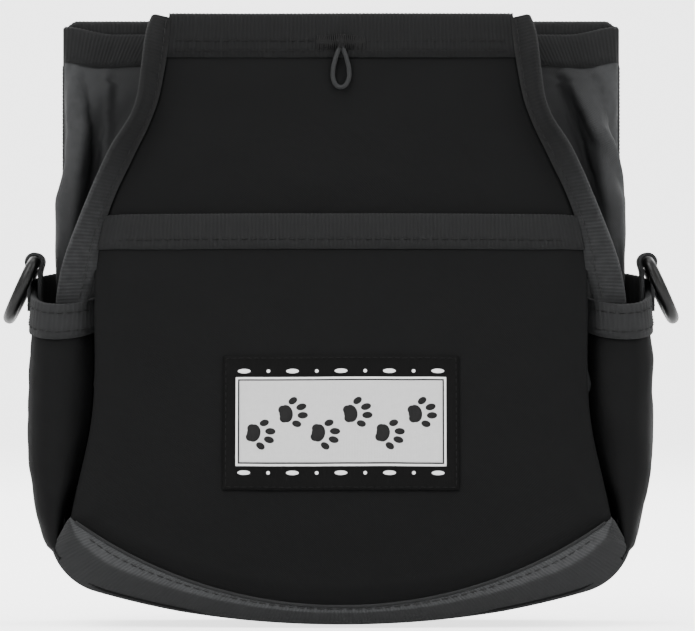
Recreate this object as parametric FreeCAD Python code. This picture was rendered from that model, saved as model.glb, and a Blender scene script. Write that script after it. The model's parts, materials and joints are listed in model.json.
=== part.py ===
"""Treat pouch worn on a belt, as an assembly of sewn panels, tapes and hardware.

Millimetres, +Z up, +X to the wearer's left as seen from the front, +Y towards the wearer.
The back assembly stands upright with the rear face of back_panel at y = 0. The front wall is
built upright in its own frame and then leaned back about the bottom seam, so that the mouth
is closed. Every shape is shifted along Y at the end, so that the origin is the centre of the
bounding box in X and Y, at the lowest point.
"""
import FreeCAD, Part  # noqa: E401  FreeCAD has to come first
import math
import os

V = FreeCAD.Vector
X_AXIS = V(1, 0, 0)
Y_AXIS = V(0, 1, 0)

# ---------------------------------------------------------------- driving dimensions
NYLON = 0.6            # pack cloth of every outer panel
LINING = 0.5           # coated lining of the treat compartment
TAPE = 0.6             # grosgrain binding tape, one leaf
WEBBING = 1.2          # belt loop and ring tabs
CORE = 1.5             # stiffener boards and the magnets beside them
GAP = 0.1              # air between two sewn layers
TAPE_WIDTH = 11.0      # one leaf of a folded binding
HEM_TAPE = 14.0        # leaf of the two bindings that hold the magnets

SEAM = 0.3             # an inner layer's edge stops this far inside the outer one
FAR = 200.0            # beyond every piece

BACK_HALF = 91.0       # half width of the back panel
BACK_TOP = 195.5
BACK_CORNER = 22.0     # radius of its lower corners
BOTTOM_RADIUS = 280.0  # radius of the shallow arc between the lower corners

DEPTH_BOTTOM = 57.0    # clear depth of the compartment at the bottom
DEPTH_TOP = 9.0        # and at the mouth, as it stands
FRONT_TOP = 203.0      # height of the front wall along its own slope
FRONT_CORNER = (87.0, 33.0)
FRONT_BOTTOM = 4.0     # lowest point of the front panel
FRONT_SIDE = (         # right edge of the front panel, as (x, height)
    (84.4, 46), (80.8, 64), (79.6, 88), (79.8, 108), (78.0, 124), (74.0, 138), (67.6, 153), (62.6, 170),
)
FRONT_TOP_HALF = 57.5
CRESCENT_HALF = 92.5   # half width of the bottom seam binding
CRESCENT_CORNER = 21.0

BACK_BOARD_INSET = 10.0
FRONT_BOARD_INSET = 6.0
SEAM_TAPE_THICK = 2.0  # the tape folded round the front wall's seams
SEAM_TAPE_GAP = 0.2

FRONT_POCKET_TOP = 134.2
PATCH_INSET = 1.0      # the patch pocket's edge, inside the front panel's
POCKET_SPACE = 1.4     # thickness of an empty patch pocket
LABEL_SIZE = (76.0, 43.0)
LABEL_Z = 65.6

FLANGE_FOOT = 111.0    # the side seam bindings end here, just above the side pockets
FLANGE_WIDTH = ((111, 11.6), (125, 10.4), (147, 9.6), (160, 7.6), (185, 6.2), (203, 6.2))
SEAM_JOIN_Z = 34.0     # side gussets meet the bottom gusset here
GUSSET_TOP = 191.0
GUSSET_PLEAT = ((34, 86.0), (60, 85.5), (105, 83.5), (122, 78.0), (145, 68.0), (165, 58.0), (193, 49.0))
GUSSET_FRONT = ((34, -1.5), (105, -1.0), (165, 2.0))   # (height, how far outside the front panel's edge)
GUSSET_SPREAD = ((34, 9.0), (105, 5.0), (145, 2.6), (193, 1.4))   # (height, half the pleat's thickness)
POCKET_OUT = 100.0     # the flat of the side pocket's bulge, where the ring's tab sits
POCKET_SHAPE = (       # (share of the way to the front seam, x at the full bulge)
    (0.03, 98.2), (0.06, POCKET_OUT), (0.7, POCKET_OUT), (0.84, 97.4), (0.92, 91.5), (0.97, 84.5),
)
POCKET_BULGE = ((34, 0.15), (48, 0.66), (60, 0.93), (70, 1.0))    # (height, share of the full bulge)
RIM_FRONT = (-31.0, 103.0)   # (y, z) of the side pocket's rim at the front
RIM_REAR = (-6.0, 112.0)

RING_WIRE = 2.0        # radius of the ring's wire
RING_ARC = 13.0        # centre-line radius of the ring's round side
RING_DROP = 7.0        # from the bar to the centre of that round side
RING_FILLET = 3.0
RING_REST = 25.0       # the rings rest leaning outwards by this angle
RING_PLACE = (POCKET_OUT, -15.6, 116.8)   # centre of the right ring's bar
TAB_WIDTH = 16.0

BELT_LOOP_WIDTH = 50.0
BELT_LOOP_Z = (58.0, 132.0)
CLIP_WIDTH = 25.0
CLIP_SHEET = 0.8
CLIP_TOP = 122.0
CLIP_BEND = 3.0        # middle radius of the clip's bend

ZIP_Z = 152.0
ZIP_HALF_OPENING = 5.5  # the pocket's cloth stops this far from the middle of the zip
ZIP_HALF = 70.0
SLIDER_X = 62.0        # the slider stands at the closed end
PULL_LENGTH = 22.0

# ---------------------------------------------------------------- derived dimensions
BACK_CORE_Y = -NYLON - GAP                       # rear face of the core layer
BACK_LINING_Y = BACK_CORE_Y - CORE - GAP
BACK_IN = BACK_LINING_Y - LINING                 # inner face of the back assembly
BOUND = NYLON + 2 * (GAP + TAPE)                 # a single cloth edge with its binding
GUSSET_REAR = BACK_IN - GAP - TAPE - GAP - BOUND / 2   # the gussets start in front of the seam binding

FRONT_CORE_W = NYLON + GAP
FRONT_LINING_W = FRONT_CORE_W + CORE + GAP
FRONT_IN = FRONT_LINING_W + LINING               # inner face of the front wall, in its own frame
LEAN = math.degrees(math.atan((DEPTH_BOTTOM - DEPTH_TOP) / BACK_TOP))
PIVOT_Y = BACK_IN - DEPTH_BOTTOM                 # the bottom seam, about which the front wall opens

HEM_HEIGHT = HEM_TAPE - 1.0                      # magnets sit inside the hems
BOARD_TOP_DROP = HEM_TAPE + 2.0                  # stiffener boards stop below the magnets


# ---------------------------------------------------------------- small helpers
def curve(points):
    """An edge through these points, smooth."""
    line = Part.BSplineCurve()
    line.interpolate([V(*p) for p in points])
    return line.toShape()


def polygon(points):
    """A closed wire of straight edges."""
    return Part.makePolygon([V(*p) for p in points] + [V(*points[0])])


def closed(edges):
    """A closed wire from edges that meet end to end, in any order."""
    return Part.Wire(Part.__sortEdges__(edges))


def slab(wire, y0, y1):
    """The solid between y0 and y1 with this outline, which lies in the plane y = 0."""
    face = Part.Face(wire)
    face.translate(V(0, y0, 0))
    return face.extrude(V(0, y1 - y0, 0))


def block(x, y, z):
    """A box from three (low, high) pairs."""
    return Part.makeBox(x[1] - x[0], y[1] - y[0], z[1] - z[0], V(x[0], y[0], z[0]))


def above(z):
    """Everything above a height."""
    return block((-FAR, FAR), (-FAR, FAR), (z, 2 * FAR))


def rod(radius, start, end):
    """A round bar between two points."""
    start, end = V(*start), V(*end)
    return Part.makeCylinder(radius, (end - start).Length, start, end - start)


def mirrored(shape):
    """The same shape on the other side of the pouch."""
    return shape.mirror(V(0, 0, 0), X_AXIS)


def thick_line(points, thickness):
    """Corners of a strip of this thickness that follows a 2-D line, with mitred bends."""
    left, right = [], []
    for i, (x, y) in enumerate(points):
        before = points[max(i - 1, 0)]
        after = points[min(i + 1, len(points) - 1)]
        normals = []
        for (ax, ay), (bx, by) in ((before, (x, y)), ((x, y), after)):
            length = math.hypot(bx - ax, by - ay)
            if length > 0:
                normals.append(((ay - by) / length, (bx - ax) / length))
        nx = sum(n[0] for n in normals) / len(normals)
        ny = sum(n[1] for n in normals) / len(normals)
        reach = thickness / 2 / (nx * nx + ny * ny)
        left.append((x + nx * reach, y + ny * reach))
        right.append((x - nx * reach, y - ny * reach))
    return left + right[::-1]


def strip(points, thickness, x0, x1):
    """A strip of cloth or sheet that follows a line in the Y-Z plane, between x0 and x1."""
    corners = [(x0, y, z) for y, z in thick_line(points, thickness)]
    return Part.Face(polygon(corners)).extrude(V(x1 - x0, 0, 0))


def upright_sheet(section, heights, thickness):
    """A sheet whose cut at each height z is a strip along section(z), a line in X and Y."""
    wires = []
    for z in heights:
        wires.append(polygon([(x, y, z) for x, y in thick_line(section(z), thickness)]))
    return Part.makeLoft(wires, True, True)


def between(value, table):
    """Straight-line interpolation in a table of (key, value) rows with rising keys."""
    for (k0, v0), (k1, v1) in zip(table, table[1:]):
        if value <= k1:
            share = max(0.0, (value - k0) / (k1 - k0))
            return v0 + share * (v1 - v0)
    return table[-1][1]


# ---------------------------------------------------------------- outlines
def rounded_outline(half, corner, grow, top):
    """Straight sides on a shallow bottom arc with rounded corners, all grown outwards by grow."""
    centre_x = half - corner
    centre_z = BOTTOM_RADIUS - math.sqrt((BOTTOM_RADIUS - corner) ** 2 - centre_x ** 2)
    lean_out = math.atan2(centre_x, BOTTOM_RADIUS - centre_z)
    corner += grow

    def on_corner(turn):
        return V(centre_x + corner * math.sin(turn), 0, centre_z - corner * math.cos(turn))

    low, middle, side = [on_corner(t) for t in (lean_out, (lean_out + math.pi / 2) / 2, math.pi / 2)]
    shoulder = V(side.x, 0, top)

    def flip(p):
        return V(-p.x, 0, p.z)

    return closed([
        Part.Arc(low, middle, side).toShape(),
        Part.makeLine(side, shoulder),
        Part.makeLine(shoulder, flip(shoulder)),
        Part.makeLine(flip(shoulder), flip(side)),
        Part.Arc(flip(side), flip(middle), flip(low)).toShape(),
        Part.Arc(flip(low), V(0, 0, -grow), low).toShape(),
    ])


def back_outline(grow, top):
    """The back panel's outline, grown outwards by grow, with its top edge at top."""
    return rounded_outline(BACK_HALF, BACK_CORNER, grow, top)


def bottom_arc_height(x, grow):
    """Height of the front panel's bottom edge at x, grown outwards by grow."""
    half, corner = FRONT_CORNER
    rise = corner - FRONT_BOTTOM
    radius = (half * half + rise * rise) / (2 * rise)
    return FRONT_BOTTOM + radius - math.sqrt((radius + grow) ** 2 - x * x)


def front_side(grow):
    """The right edge of the front panel, from its bottom corner up, as (x, height) points."""
    corner = FRONT_CORNER[0] + grow
    points = [(corner, bottom_arc_height(corner, grow))]
    points += [(x + grow, v) for x, v in FRONT_SIDE]
    return points + [(FRONT_TOP_HALF + grow, FRONT_TOP)]


def front_outline(grow):
    """The front panel's outline in its own upright frame, grown outwards by grow."""
    right = [(x, 0, v) for x, v in front_side(grow)]
    left = [(-x, 0, v) for x, _, v in right]
    low = V(0, 0, bottom_arc_height(0, grow))
    edges = [
        curve(right),
        Part.makeLine(V(*right[-1]), V(*left[-1])),
        curve(left),
        Part.Arc(V(*left[0]), low, V(*right[0])).toShape(),
    ]
    return closed(edges)


def front_half(z):
    """Half width of the front panel at a height above the ground."""
    rows = [(v, x) for x, v in front_side(0)]
    return between(z / math.cos(math.radians(LEAN)), rows)


def front_inner_y(z):
    """Where the leaning wall's inner face stands at a height above the ground."""
    return PIVOT_Y + z * math.tan(math.radians(LEAN))


def lean(shape):
    """Moves a shape from the front wall's upright frame to its leaning place."""
    shape.rotate(V(0, FRONT_IN, 0), X_AXIS, -LEAN)
    shape.translate(V(0, PIVOT_Y - FRONT_IN, 0))
    return shape


# ---------------------------------------------------------------- back assembly
def back_layers():
    """Outer panel, board, lining and the magnets in the hem."""
    board = slab(back_outline(-BACK_BOARD_INSET, BACK_TOP), BACK_CORE_Y - CORE, BACK_CORE_Y)
    return {
        "back_panel": slab(back_outline(0, BACK_TOP), -NYLON, 0),
        "back_stiffener": board.cut(above(BACK_TOP - BOARD_TOP_DROP)),
        "back_lining": slab(back_outline(-SEAM, BACK_TOP), BACK_IN, BACK_LINING_Y),
        "back_magnets": magnets(BACK_CORE_Y - CORE, BACK_TOP),
    }


def magnets(y0, top):
    """Three flat bar magnets side by side in a hem."""
    length, pitch, edge = 32.0, 35.0, 1.0
    bars = []
    for i in (-1, 0, 1):
        x = (i * pitch - length / 2, i * pitch + length / 2)
        bars.append(block(x, (y0, y0 + CORE), (top - HEM_HEIGHT, top - edge)))
    return Part.makeCompound(bars)


def top_binding(half, y0, y1, top):
    """Tape folded over a straight top edge. The layers it holds lie between y0 and y1."""
    outer = block((-half, half), (y0 - GAP - TAPE, y1 + GAP + TAPE), (top - HEM_TAPE, top + GAP + TAPE))
    inner = block((-half - 1, half + 1), (y0 - GAP, y1 + GAP), (top - HEM_TAPE - 1, top + GAP))
    return outer.cut(inner)


def back_seam_binding():
    """Tape folded round the sides and bottom of the back assembly."""
    leaf = 8.0
    outer = slab(back_outline(GAP + TAPE, BACK_TOP), BACK_IN - GAP - TAPE, GAP + TAPE)
    held = slab(back_outline(GAP, BACK_TOP + 1), BACK_IN - GAP, GAP)
    window = slab(back_outline(-leaf, BACK_TOP + 1), -FAR, FAR)
    return outer.cut(held).cut(window).cut(above(BACK_TOP - HEM_TAPE - GAP))


# ---------------------------------------------------------------- gussets
def gusset_section(z):
    """The right gusset at height z: from the back seam, in to the pleat, out to the front seam."""
    rear = (BACK_HALF - 0.6, GUSSET_REAR)
    front = (front_half(z) + between(z, GUSSET_FRONT), front_inner_y(z) + 2.1)
    pleat_x = between(z, GUSSET_PLEAT)
    middle = (rear[1] + front[1]) / 2
    open_half = between(z, GUSSET_SPREAD)
    return [rear, (pleat_x, middle + open_half), (pleat_x, middle - open_half), front]


def side_gusset():
    heights = (SEAM_JOIN_Z + 0.3, 60, 105, 122, 145, 165, GUSSET_TOP)
    return upright_sheet(gusset_section, heights, NYLON)


def gusset_binding():
    """Tape folded over the gusset's top edge."""
    top = GUSSET_TOP
    heights = (top - TAPE_WIDTH, top + GAP + TAPE)
    outer = upright_sheet(gusset_section, heights, BOUND)
    held = upright_sheet(gusset_section, (top - TAPE_WIDTH - 1, top + GAP), NYLON + 2 * GAP)
    return outer.cut(held)


def bottom_band(grow, thickness):
    """A band round the bottom, between the back seam and the front seam."""
    outer = slab(back_outline(grow, BACK_TOP), -FAR, BACK_IN - GAP - TAPE - GAP)
    inner = slab(back_outline(grow - thickness, BACK_TOP + 1), -FAR, FAR)
    behind_wall = FRONT_IN + 0.4
    front_wall = lean(block((-FAR, FAR), (-2 * FAR, behind_wall), (-FAR, 2 * FAR)))
    return outer.cut(inner).cut(above(SEAM_JOIN_Z)).cut(front_wall)


# ---------------------------------------------------------------- side pockets
def pocket_section(z):
    """The right side pocket at height z: from the back seam, out round the bulge, to the front seam."""
    bulge = between(z, POCKET_BULGE)
    rear = (BACK_HALF + 0.6, GUSSET_REAR - 0.3)
    front = (front_half(z) + 1.3, front_inner_y(z) - 1.2)
    points = [rear]
    for share, full_x in POCKET_SHAPE:
        chord_x = rear[0] + share * (front[0] - rear[0])
        y = rear[1] + share * (front[1] - rear[1])
        points.append((chord_x + bulge * (full_x - chord_x), y))
    return points + [front]


def below_rim(lift):
    """Everything below a plane that follows the side pocket's rim, raised by lift."""
    slope = (RIM_REAR[1] - RIM_FRONT[1]) / (RIM_REAR[0] - RIM_FRONT[0])
    corners = []
    for y in (-FAR, FAR):
        corners.append((-FAR, y, RIM_FRONT[1] + lift + slope * (y - RIM_FRONT[0])))
    corners += [(-FAR, FAR, -FAR), (-FAR, -FAR, -FAR)]
    return Part.Face(polygon(corners)).extrude(V(2 * FAR, 0, 0))


POCKET_HEIGHTS = (SEAM_JOIN_Z, 40, 48, 60, 70, 103, 125)


def side_pocket():
    return upright_sheet(pocket_section, POCKET_HEIGHTS, NYLON).common(below_rim(0))


def pocket_binding():
    """Elastic tape folded over the side pocket's rim."""
    heights = (80, 103, 125)
    outer = upright_sheet(pocket_section, heights, BOUND)
    held = upright_sheet(pocket_section, heights, NYLON + 2 * GAP)
    outer = outer.common(below_rim(GAP + TAPE)).cut(below_rim(-TAPE_WIDTH))
    return outer.cut(held.common(below_rim(GAP)))


# ---------------------------------------------------------------- rings
def ring():
    """The right D-ring, hanging straight down from its bar, which is centred on the origin along Y."""
    xf = math.sqrt((RING_ARC - RING_FILLET) ** 2 - (RING_DROP - RING_FILLET) ** 2)
    reach = RING_ARC / (RING_ARC - RING_FILLET)
    side_end = V(0, xf * reach, -(RING_DROP + (RING_FILLET - RING_DROP) * reach))
    corner = V(0, xf, -RING_FILLET)
    half_way = (V(0, xf, 0) + side_end) * 0.5 - corner
    corner_mid = corner + half_way * (RING_FILLET / half_way.Length)

    def flip(p):
        return V(p.x, -p.y, p.z)

    path = Part.Wire([
        Part.makeLine(V(0, 0, 0), V(0, xf, 0)),
        Part.Arc(V(0, xf, 0), corner_mid, side_end).toShape(),
        Part.Arc(side_end, V(0, 0, -RING_DROP - RING_ARC), flip(side_end)).toShape(),
        Part.Arc(flip(side_end), flip(corner_mid), V(0, -xf, 0)).toShape(),
        Part.makeLine(V(0, -xf, 0), V(0, 0, 0)),
    ])
    section = Part.Wire([Part.makeCircle(RING_WIRE, V(0, 0, 0), Y_AXIS)])
    return path.makePipeShell([section], True, False)


def placed_ring():
    shape = ring()
    shape.rotate(V(0, 0, 0), Y_AXIS, -RING_REST)
    shape.translate(V(*RING_PLACE))
    return shape


def ring_tab():
    """Webbing that straddles the pocket's rim and arches over the ring's bar."""
    inside = RING_WIRE + 0.08
    arch = Part.makeCylinder(inside + WEBBING, TAB_WIDTH, V(0, -TAB_WIDTH / 2, 0), Y_AXIS)
    arch = arch.cut(block((-20, 20), (-20, 20), (-20, 0)))
    middle = inside + WEBBING / 2
    grip = BOUND / 2 + GAP + WEBBING / 2
    neck, foot = -3.4, -16.0
    shape = arch
    for side in (-1, 1):
        leg = [(side * middle, 0.0), (side * middle, -1.2), (side * grip, neck), (side * grip, foot)]
        corners = [(x, -TAB_WIDTH / 2, z) for x, z in thick_line(leg, WEBBING)]
        shape = shape.fuse(Part.Face(polygon(corners)).extrude(V(0, TAB_WIDTH, 0)))
    bore = Part.makeCylinder(inside, TAB_WIDTH + 2, V(0, -TAB_WIDTH / 2 - 1, 0), Y_AXIS)
    shape = shape.cut(bore).removeSplitter()
    shape.translate(V(*RING_PLACE))
    return shape


# ---------------------------------------------------------------- rear pocket and zip
REAR_PLATE_Y = 2.9
REAR_INSET = -9.5


def rear_tray(z0, z1):
    """Part of the rear pocket: a raised panel with a turned-down edge, between two heights."""
    rim = 2.0
    top = BACK_TOP - HEM_TAPE - 1.0
    outer = slab(back_outline(REAR_INSET, top), GAP, REAR_PLATE_Y + NYLON)
    hollow = slab(back_outline(REAR_INSET - rim, top - rim), -5, REAR_PLATE_Y)
    return outer.cut(hollow).common(block((-FAR, FAR), (-FAR, FAR), (z0, z1)))


COIL_GAP = 1.0
COIL_WIDTH = 1.8
COIL_Y = (2.2, 3.8)


def zip_tapes():
    """The two halves of the zip's tape, each sewn under one edge of the opening."""
    inner, outer = COIL_GAP / 2 + COIL_WIDTH, 11.0
    halves = []
    for z in ((ZIP_Z + inner, ZIP_Z + outer), (ZIP_Z - outer, ZIP_Z - inner)):
        halves.append(block((-ZIP_HALF - 4, ZIP_HALF + 4), (COIL_Y[0], COIL_Y[0] + TAPE), z))
    return Part.makeCompound(halves)


def zip_coils():
    """The two coils, with room between them for the slider's wedge."""
    rows = []
    for z in (ZIP_Z + COIL_GAP / 2, ZIP_Z - COIL_GAP / 2 - COIL_WIDTH):
        rows.append(block((-ZIP_HALF, ZIP_HALF), COIL_Y, (z, z + COIL_WIDTH)))
    return Part.makeCompound(rows)


def zip_stops():
    """Metal stops across both ends of the coils."""
    stops = []
    for x in (-ZIP_HALF - 2.2, ZIP_HALF + 0.2):
        stops.append(block((x, x + 2.0), COIL_Y, (ZIP_Z - 2.2, ZIP_Z + 2.2)))
    return Part.makeCompound(stops)


PIN_Y = 6.7            # the zip pull hangs from a pin this far behind the back panel
PIN_RADIUS = 0.6
EYE_HALF = 2.0


def zip_slider():
    """Two plates joined by a wedge, with lugs and a pin for the pull."""
    wing = (ZIP_Z - 4.3, ZIP_Z + 4.3)
    length = (SLIDER_X - 5.0, SLIDER_X + 5.0)
    top_plate = (COIL_Y[1] + 0.3, COIL_Y[1] + 1.3)
    under_plate = (COIL_Y[0] - 1.2, COIL_Y[0] - 0.3)
    wedge = (ZIP_Z - COIL_GAP / 2 + GAP, ZIP_Z + COIL_GAP / 2 - GAP)
    body = block(length, top_plate, wing).fuse(block(length, under_plate, wing))
    body = body.fuse(block((SLIDER_X - 4, SLIDER_X - 1), (under_plate[0], top_plate[1]), wedge))
    lug = EYE_HALF + GAP
    for z in (ZIP_Z + lug, ZIP_Z - lug - 1.0):
        body = body.fuse(block((SLIDER_X - 1.4, SLIDER_X + 1.4), (top_plate[0], PIN_Y + 1.3), (z, z + 1.0)))
    pin = rod(PIN_RADIUS, (SLIDER_X, PIN_Y, ZIP_Z - lug - 0.5), (SLIDER_X, PIN_Y, ZIP_Z + lug + 0.5))
    return body.fuse(pin).removeSplitter()


def zip_pull():
    """The pull tab, lying flat over the closed zip."""
    thick = 1.2
    eye = rod(1.4, (SLIDER_X, PIN_Y, ZIP_Z - EYE_HALF), (SLIDER_X, PIN_Y, ZIP_Z + EYE_HALF))
    y = (PIN_Y - thick / 2, PIN_Y + thick / 2)
    neck = block((SLIDER_X - 5, SLIDER_X), y, (ZIP_Z - EYE_HALF, ZIP_Z + EYE_HALF))
    blade_end = SLIDER_X - PULL_LENGTH
    blade = block((blade_end, SLIDER_X - 4), y, (ZIP_Z - 3.2, ZIP_Z + 3.2))
    tab = eye.fuse(neck).fuse(blade)
    hole = rod(PIN_RADIUS + 0.06, (SLIDER_X, PIN_Y, ZIP_Z - 5), (SLIDER_X, PIN_Y, ZIP_Z + 5))
    grip = rod(1.5, (blade_end + 3.5, 0, ZIP_Z), (blade_end + 3.5, 20, ZIP_Z))
    return tab.removeSplitter().cut(hole).cut(grip)


# ---------------------------------------------------------------- belt loop and clip
LOOP_FOOT_Y = REAR_PLATE_Y + NYLON + GAP + WEBBING / 2
LOOP_OUT_Y = 9.2
RIVET_RADIUS = 1.5
RIVET_Z = (82.0, 112.0)


def rivet_holes():
    """The bores for the rivets' shanks, from the belt loop outwards."""
    return [rod(RIVET_RADIUS + GAP, (0, LOOP_OUT_Y - 2, z), (0, LOOP_OUT_Y + 4, z)) for z in RIVET_Z]


def belt_loop():
    """Wide webbing sewn down at both ends, which a belt passes through sideways."""
    low, high = BELT_LOOP_Z
    line = [(LOOP_FOOT_Y, low), (LOOP_FOOT_Y, low + 7), (LOOP_OUT_Y, low + 11),
            (LOOP_OUT_Y, high - 11), (LOOP_FOOT_Y, high - 7), (LOOP_FOOT_Y, high)]
    shape = strip(line, WEBBING, -BELT_LOOP_WIDTH / 2, BELT_LOOP_WIDTH / 2)
    return shape.cut(Part.makeCompound(rivet_holes()))


CLIP_BASE_Y = LOOP_OUT_Y + WEBBING / 2 + GAP + CLIP_SHEET / 2
CLIP_ARM_Y = CLIP_BASE_Y + 2 * CLIP_BEND


def clip_line(turn_from, turn_to):
    """Points round the clip's bend, as (y, z), between two turns in degrees from the base side."""
    centre = (CLIP_BASE_Y + CLIP_BEND, CLIP_TOP)
    steps = 6
    points = []
    for i in range(steps + 1):
        turn = math.radians(turn_from + (turn_to - turn_from) * i / steps)
        points.append((centre[0] - CLIP_BEND * math.cos(turn), centre[1] + CLIP_BEND * math.sin(turn)))
    return points


def belt_clip_base():
    """The clip's fixed leg, riveted to the belt loop, and the near half of its bend."""
    line = [(CLIP_BASE_Y, 73.0)] + clip_line(0, 80)
    shape = strip(line, CLIP_SHEET, -CLIP_WIDTH / 2, CLIP_WIDTH / 2)
    return shape.cut(Part.makeCompound(rivet_holes()))


def belt_clip_arm():
    """The clip's spring leg, which slips inside a waistband."""
    line = clip_line(91, 180) + [(CLIP_ARM_Y, 86.0), (CLIP_ARM_Y - 3.4, 75.0), (CLIP_ARM_Y - 1.6, 69.0)]
    return strip(line, CLIP_SHEET, -CLIP_WIDTH / 2, CLIP_WIDTH / 2)


def clip_rivets():
    """Two flat-headed rivets through the clip and the belt loop."""
    head_radius, head = 3.2, 0.6
    near = LOOP_OUT_Y - WEBBING / 2 - 0.05
    far = CLIP_BASE_Y + CLIP_SHEET / 2 + 0.05
    rivets = []
    for z in RIVET_Z:
        shank = rod(RIVET_RADIUS, (0, near - head, z), (0, far + head, z))
        inner = rod(head_radius, (0, near - head, z), (0, near, z))
        outer = rod(head_radius, (0, far, z), (0, far + head, z))
        rivets.append(shank.fuse(inner).fuse(outer).removeSplitter())
    return Part.makeCompound(rivets)


# ---------------------------------------------------------------- front wall
def front_layers():
    """Outer panel, board, lining and magnets, in the wall's upright frame."""
    board = slab(front_outline(-FRONT_BOARD_INSET), FRONT_CORE_W, FRONT_CORE_W + CORE)
    return {
        "front_panel": slab(front_outline(0), 0, NYLON),
        "front_stiffener": board.cut(above(FRONT_TOP - BOARD_TOP_DROP)),
        "front_lining": slab(front_outline(-SEAM), FRONT_LINING_W, FRONT_IN),
        "front_magnets": magnets(FRONT_CORE_W, FRONT_TOP),
    }


def side_seam_binding():
    """The right side seam's tape: a flat flange beside the front panel, above the side pocket."""
    side = front_side(SEAM_TAPE_GAP)
    inner = [(x, v) for x, v in side if v > FLANGE_FOOT]
    foot = between(FLANGE_FOOT, [(v, x) for x, v in side])
    inner.insert(0, (foot, FLANGE_FOOT))
    outer = []
    for x, v in inner:
        width = between(v, FLANGE_WIDTH)
        outer.append((x + width, v))
    edges = [
        curve([(x, 0, v) for x, v in inner]),
        curve([(x, 0, v) for x, v in outer]),
        Part.makeLine(V(inner[0][0], 0, inner[0][1]), V(outer[0][0], 0, outer[0][1])),
        Part.makeLine(V(inner[-1][0], 0, inner[-1][1]), V(outer[-1][0], 0, outer[-1][1])),
    ]
    return slab(closed(edges), SEAM_TAPE_GAP, SEAM_TAPE_GAP + SEAM_TAPE_THICK)


def bottom_seam_binding():
    """The crescent of tape under the front panel's bottom edge."""
    outer = slab(rounded_outline(CRESCENT_HALF, CRESCENT_CORNER, 0, BACK_TOP), 0, SEAM_TAPE_THICK)
    panel = slab(front_outline(SEAM_TAPE_GAP), -FAR, FAR)
    end = FRONT_CORNER[1] - 1.5
    return outer.cut(panel).cut(above(end))


def front_pocket_panel():
    """The patch pocket: a raised panel with its edge turned down to the front panel."""
    rim = 2.0
    back = -GAP
    front = back - POCKET_SPACE - NYLON
    outer = slab(front_outline(-PATCH_INSET), front, back)
    hollow = slab(front_outline(-PATCH_INSET - rim), front + NYLON, back + rim)
    return outer.cut(hollow).cut(above(FRONT_POCKET_TOP))


def front_pocket_binding():
    """Tape folded over the patch pocket's top edge."""
    panel_rear = -GAP - POCKET_SPACE
    panel_front = panel_rear - NYLON
    low, top = FRONT_POCKET_TOP - TAPE_WIDTH, FRONT_POCKET_TOP + GAP + TAPE
    inset = 4.0            # the rear leaf and the fold stop this far inside the panel's edge

    def leaf(outline, y0, y1, bottom):
        return slab(outline, y0, y1).common(block((-FAR, FAR), (-FAR, FAR), (bottom, top)))

    face = leaf(front_outline(-0.6), panel_front - GAP - TAPE, panel_front - GAP, low)
    fold = leaf(front_outline(-inset), panel_front - GAP, panel_rear + GAP + TAPE, FRONT_POCKET_TOP + GAP)
    inner = leaf(front_outline(-inset), panel_rear + GAP, panel_rear + GAP + TAPE, low)
    return face.fuse(fold).fuse(inner).removeSplitter()


def label():
    width, height = LABEL_SIZE
    front = -GAP - POCKET_SPACE - NYLON - GAP
    z = (LABEL_Z - height / 2, LABEL_Z + height / 2)
    return block((-width / 2, width / 2), (front - TAPE, front), z)


CORD = 0.75            # radius of the clicker loop's cord
CORD_W = -GAP - TAPE - GAP - CORD - 0.1
LOOP_TOP = FRONT_TOP - 10.0


def clicker_loop():
    """A teardrop of cord with a short bar across its top, which the stay holds."""
    right = ((0.9, -0.3), (1.6, -3.6), (3.2, -7.4), (3.7, -10.6), (2.6, -13.8))
    outline = [(-x, v) for x, v in right] + [(0, -15.0)] + [(x, v) for x, v in right[::-1]]
    strand = curve([(x, CORD_W, LOOP_TOP + v) for x, v in outline])
    start = strand.valueAt(strand.FirstParameter)
    section = Part.Wire([Part.makeCircle(CORD, start, strand.tangentAt(strand.FirstParameter))])
    loop = Part.Wire([strand]).makePipeShell([section], True, True)
    bar = rod(CORD, (-5, CORD_W, LOOP_TOP), (5, CORD_W, LOOP_TOP))
    return bar.fuse(loop)


def loop_stay():
    """The bar-tacked stay that holds the cord's top bar and lets the loop swing."""
    front = CORD_W - CORD - 0.6
    rear = -GAP - TAPE - 0.02
    stay = block((-8, 8), (front, rear), (LOOP_TOP - 1.6, LOOP_TOP + 2.4))
    channel = rod(CORD + 0.06, (-5.1, CORD_W, LOOP_TOP), (5.1, CORD_W, LOOP_TOP))
    window = block((-3.2, 3.2), (front - 1, rear + 1), (LOOP_TOP - 5, LOOP_TOP + CORD + 0.1))
    return stay.cut(channel).cut(window)


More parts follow.
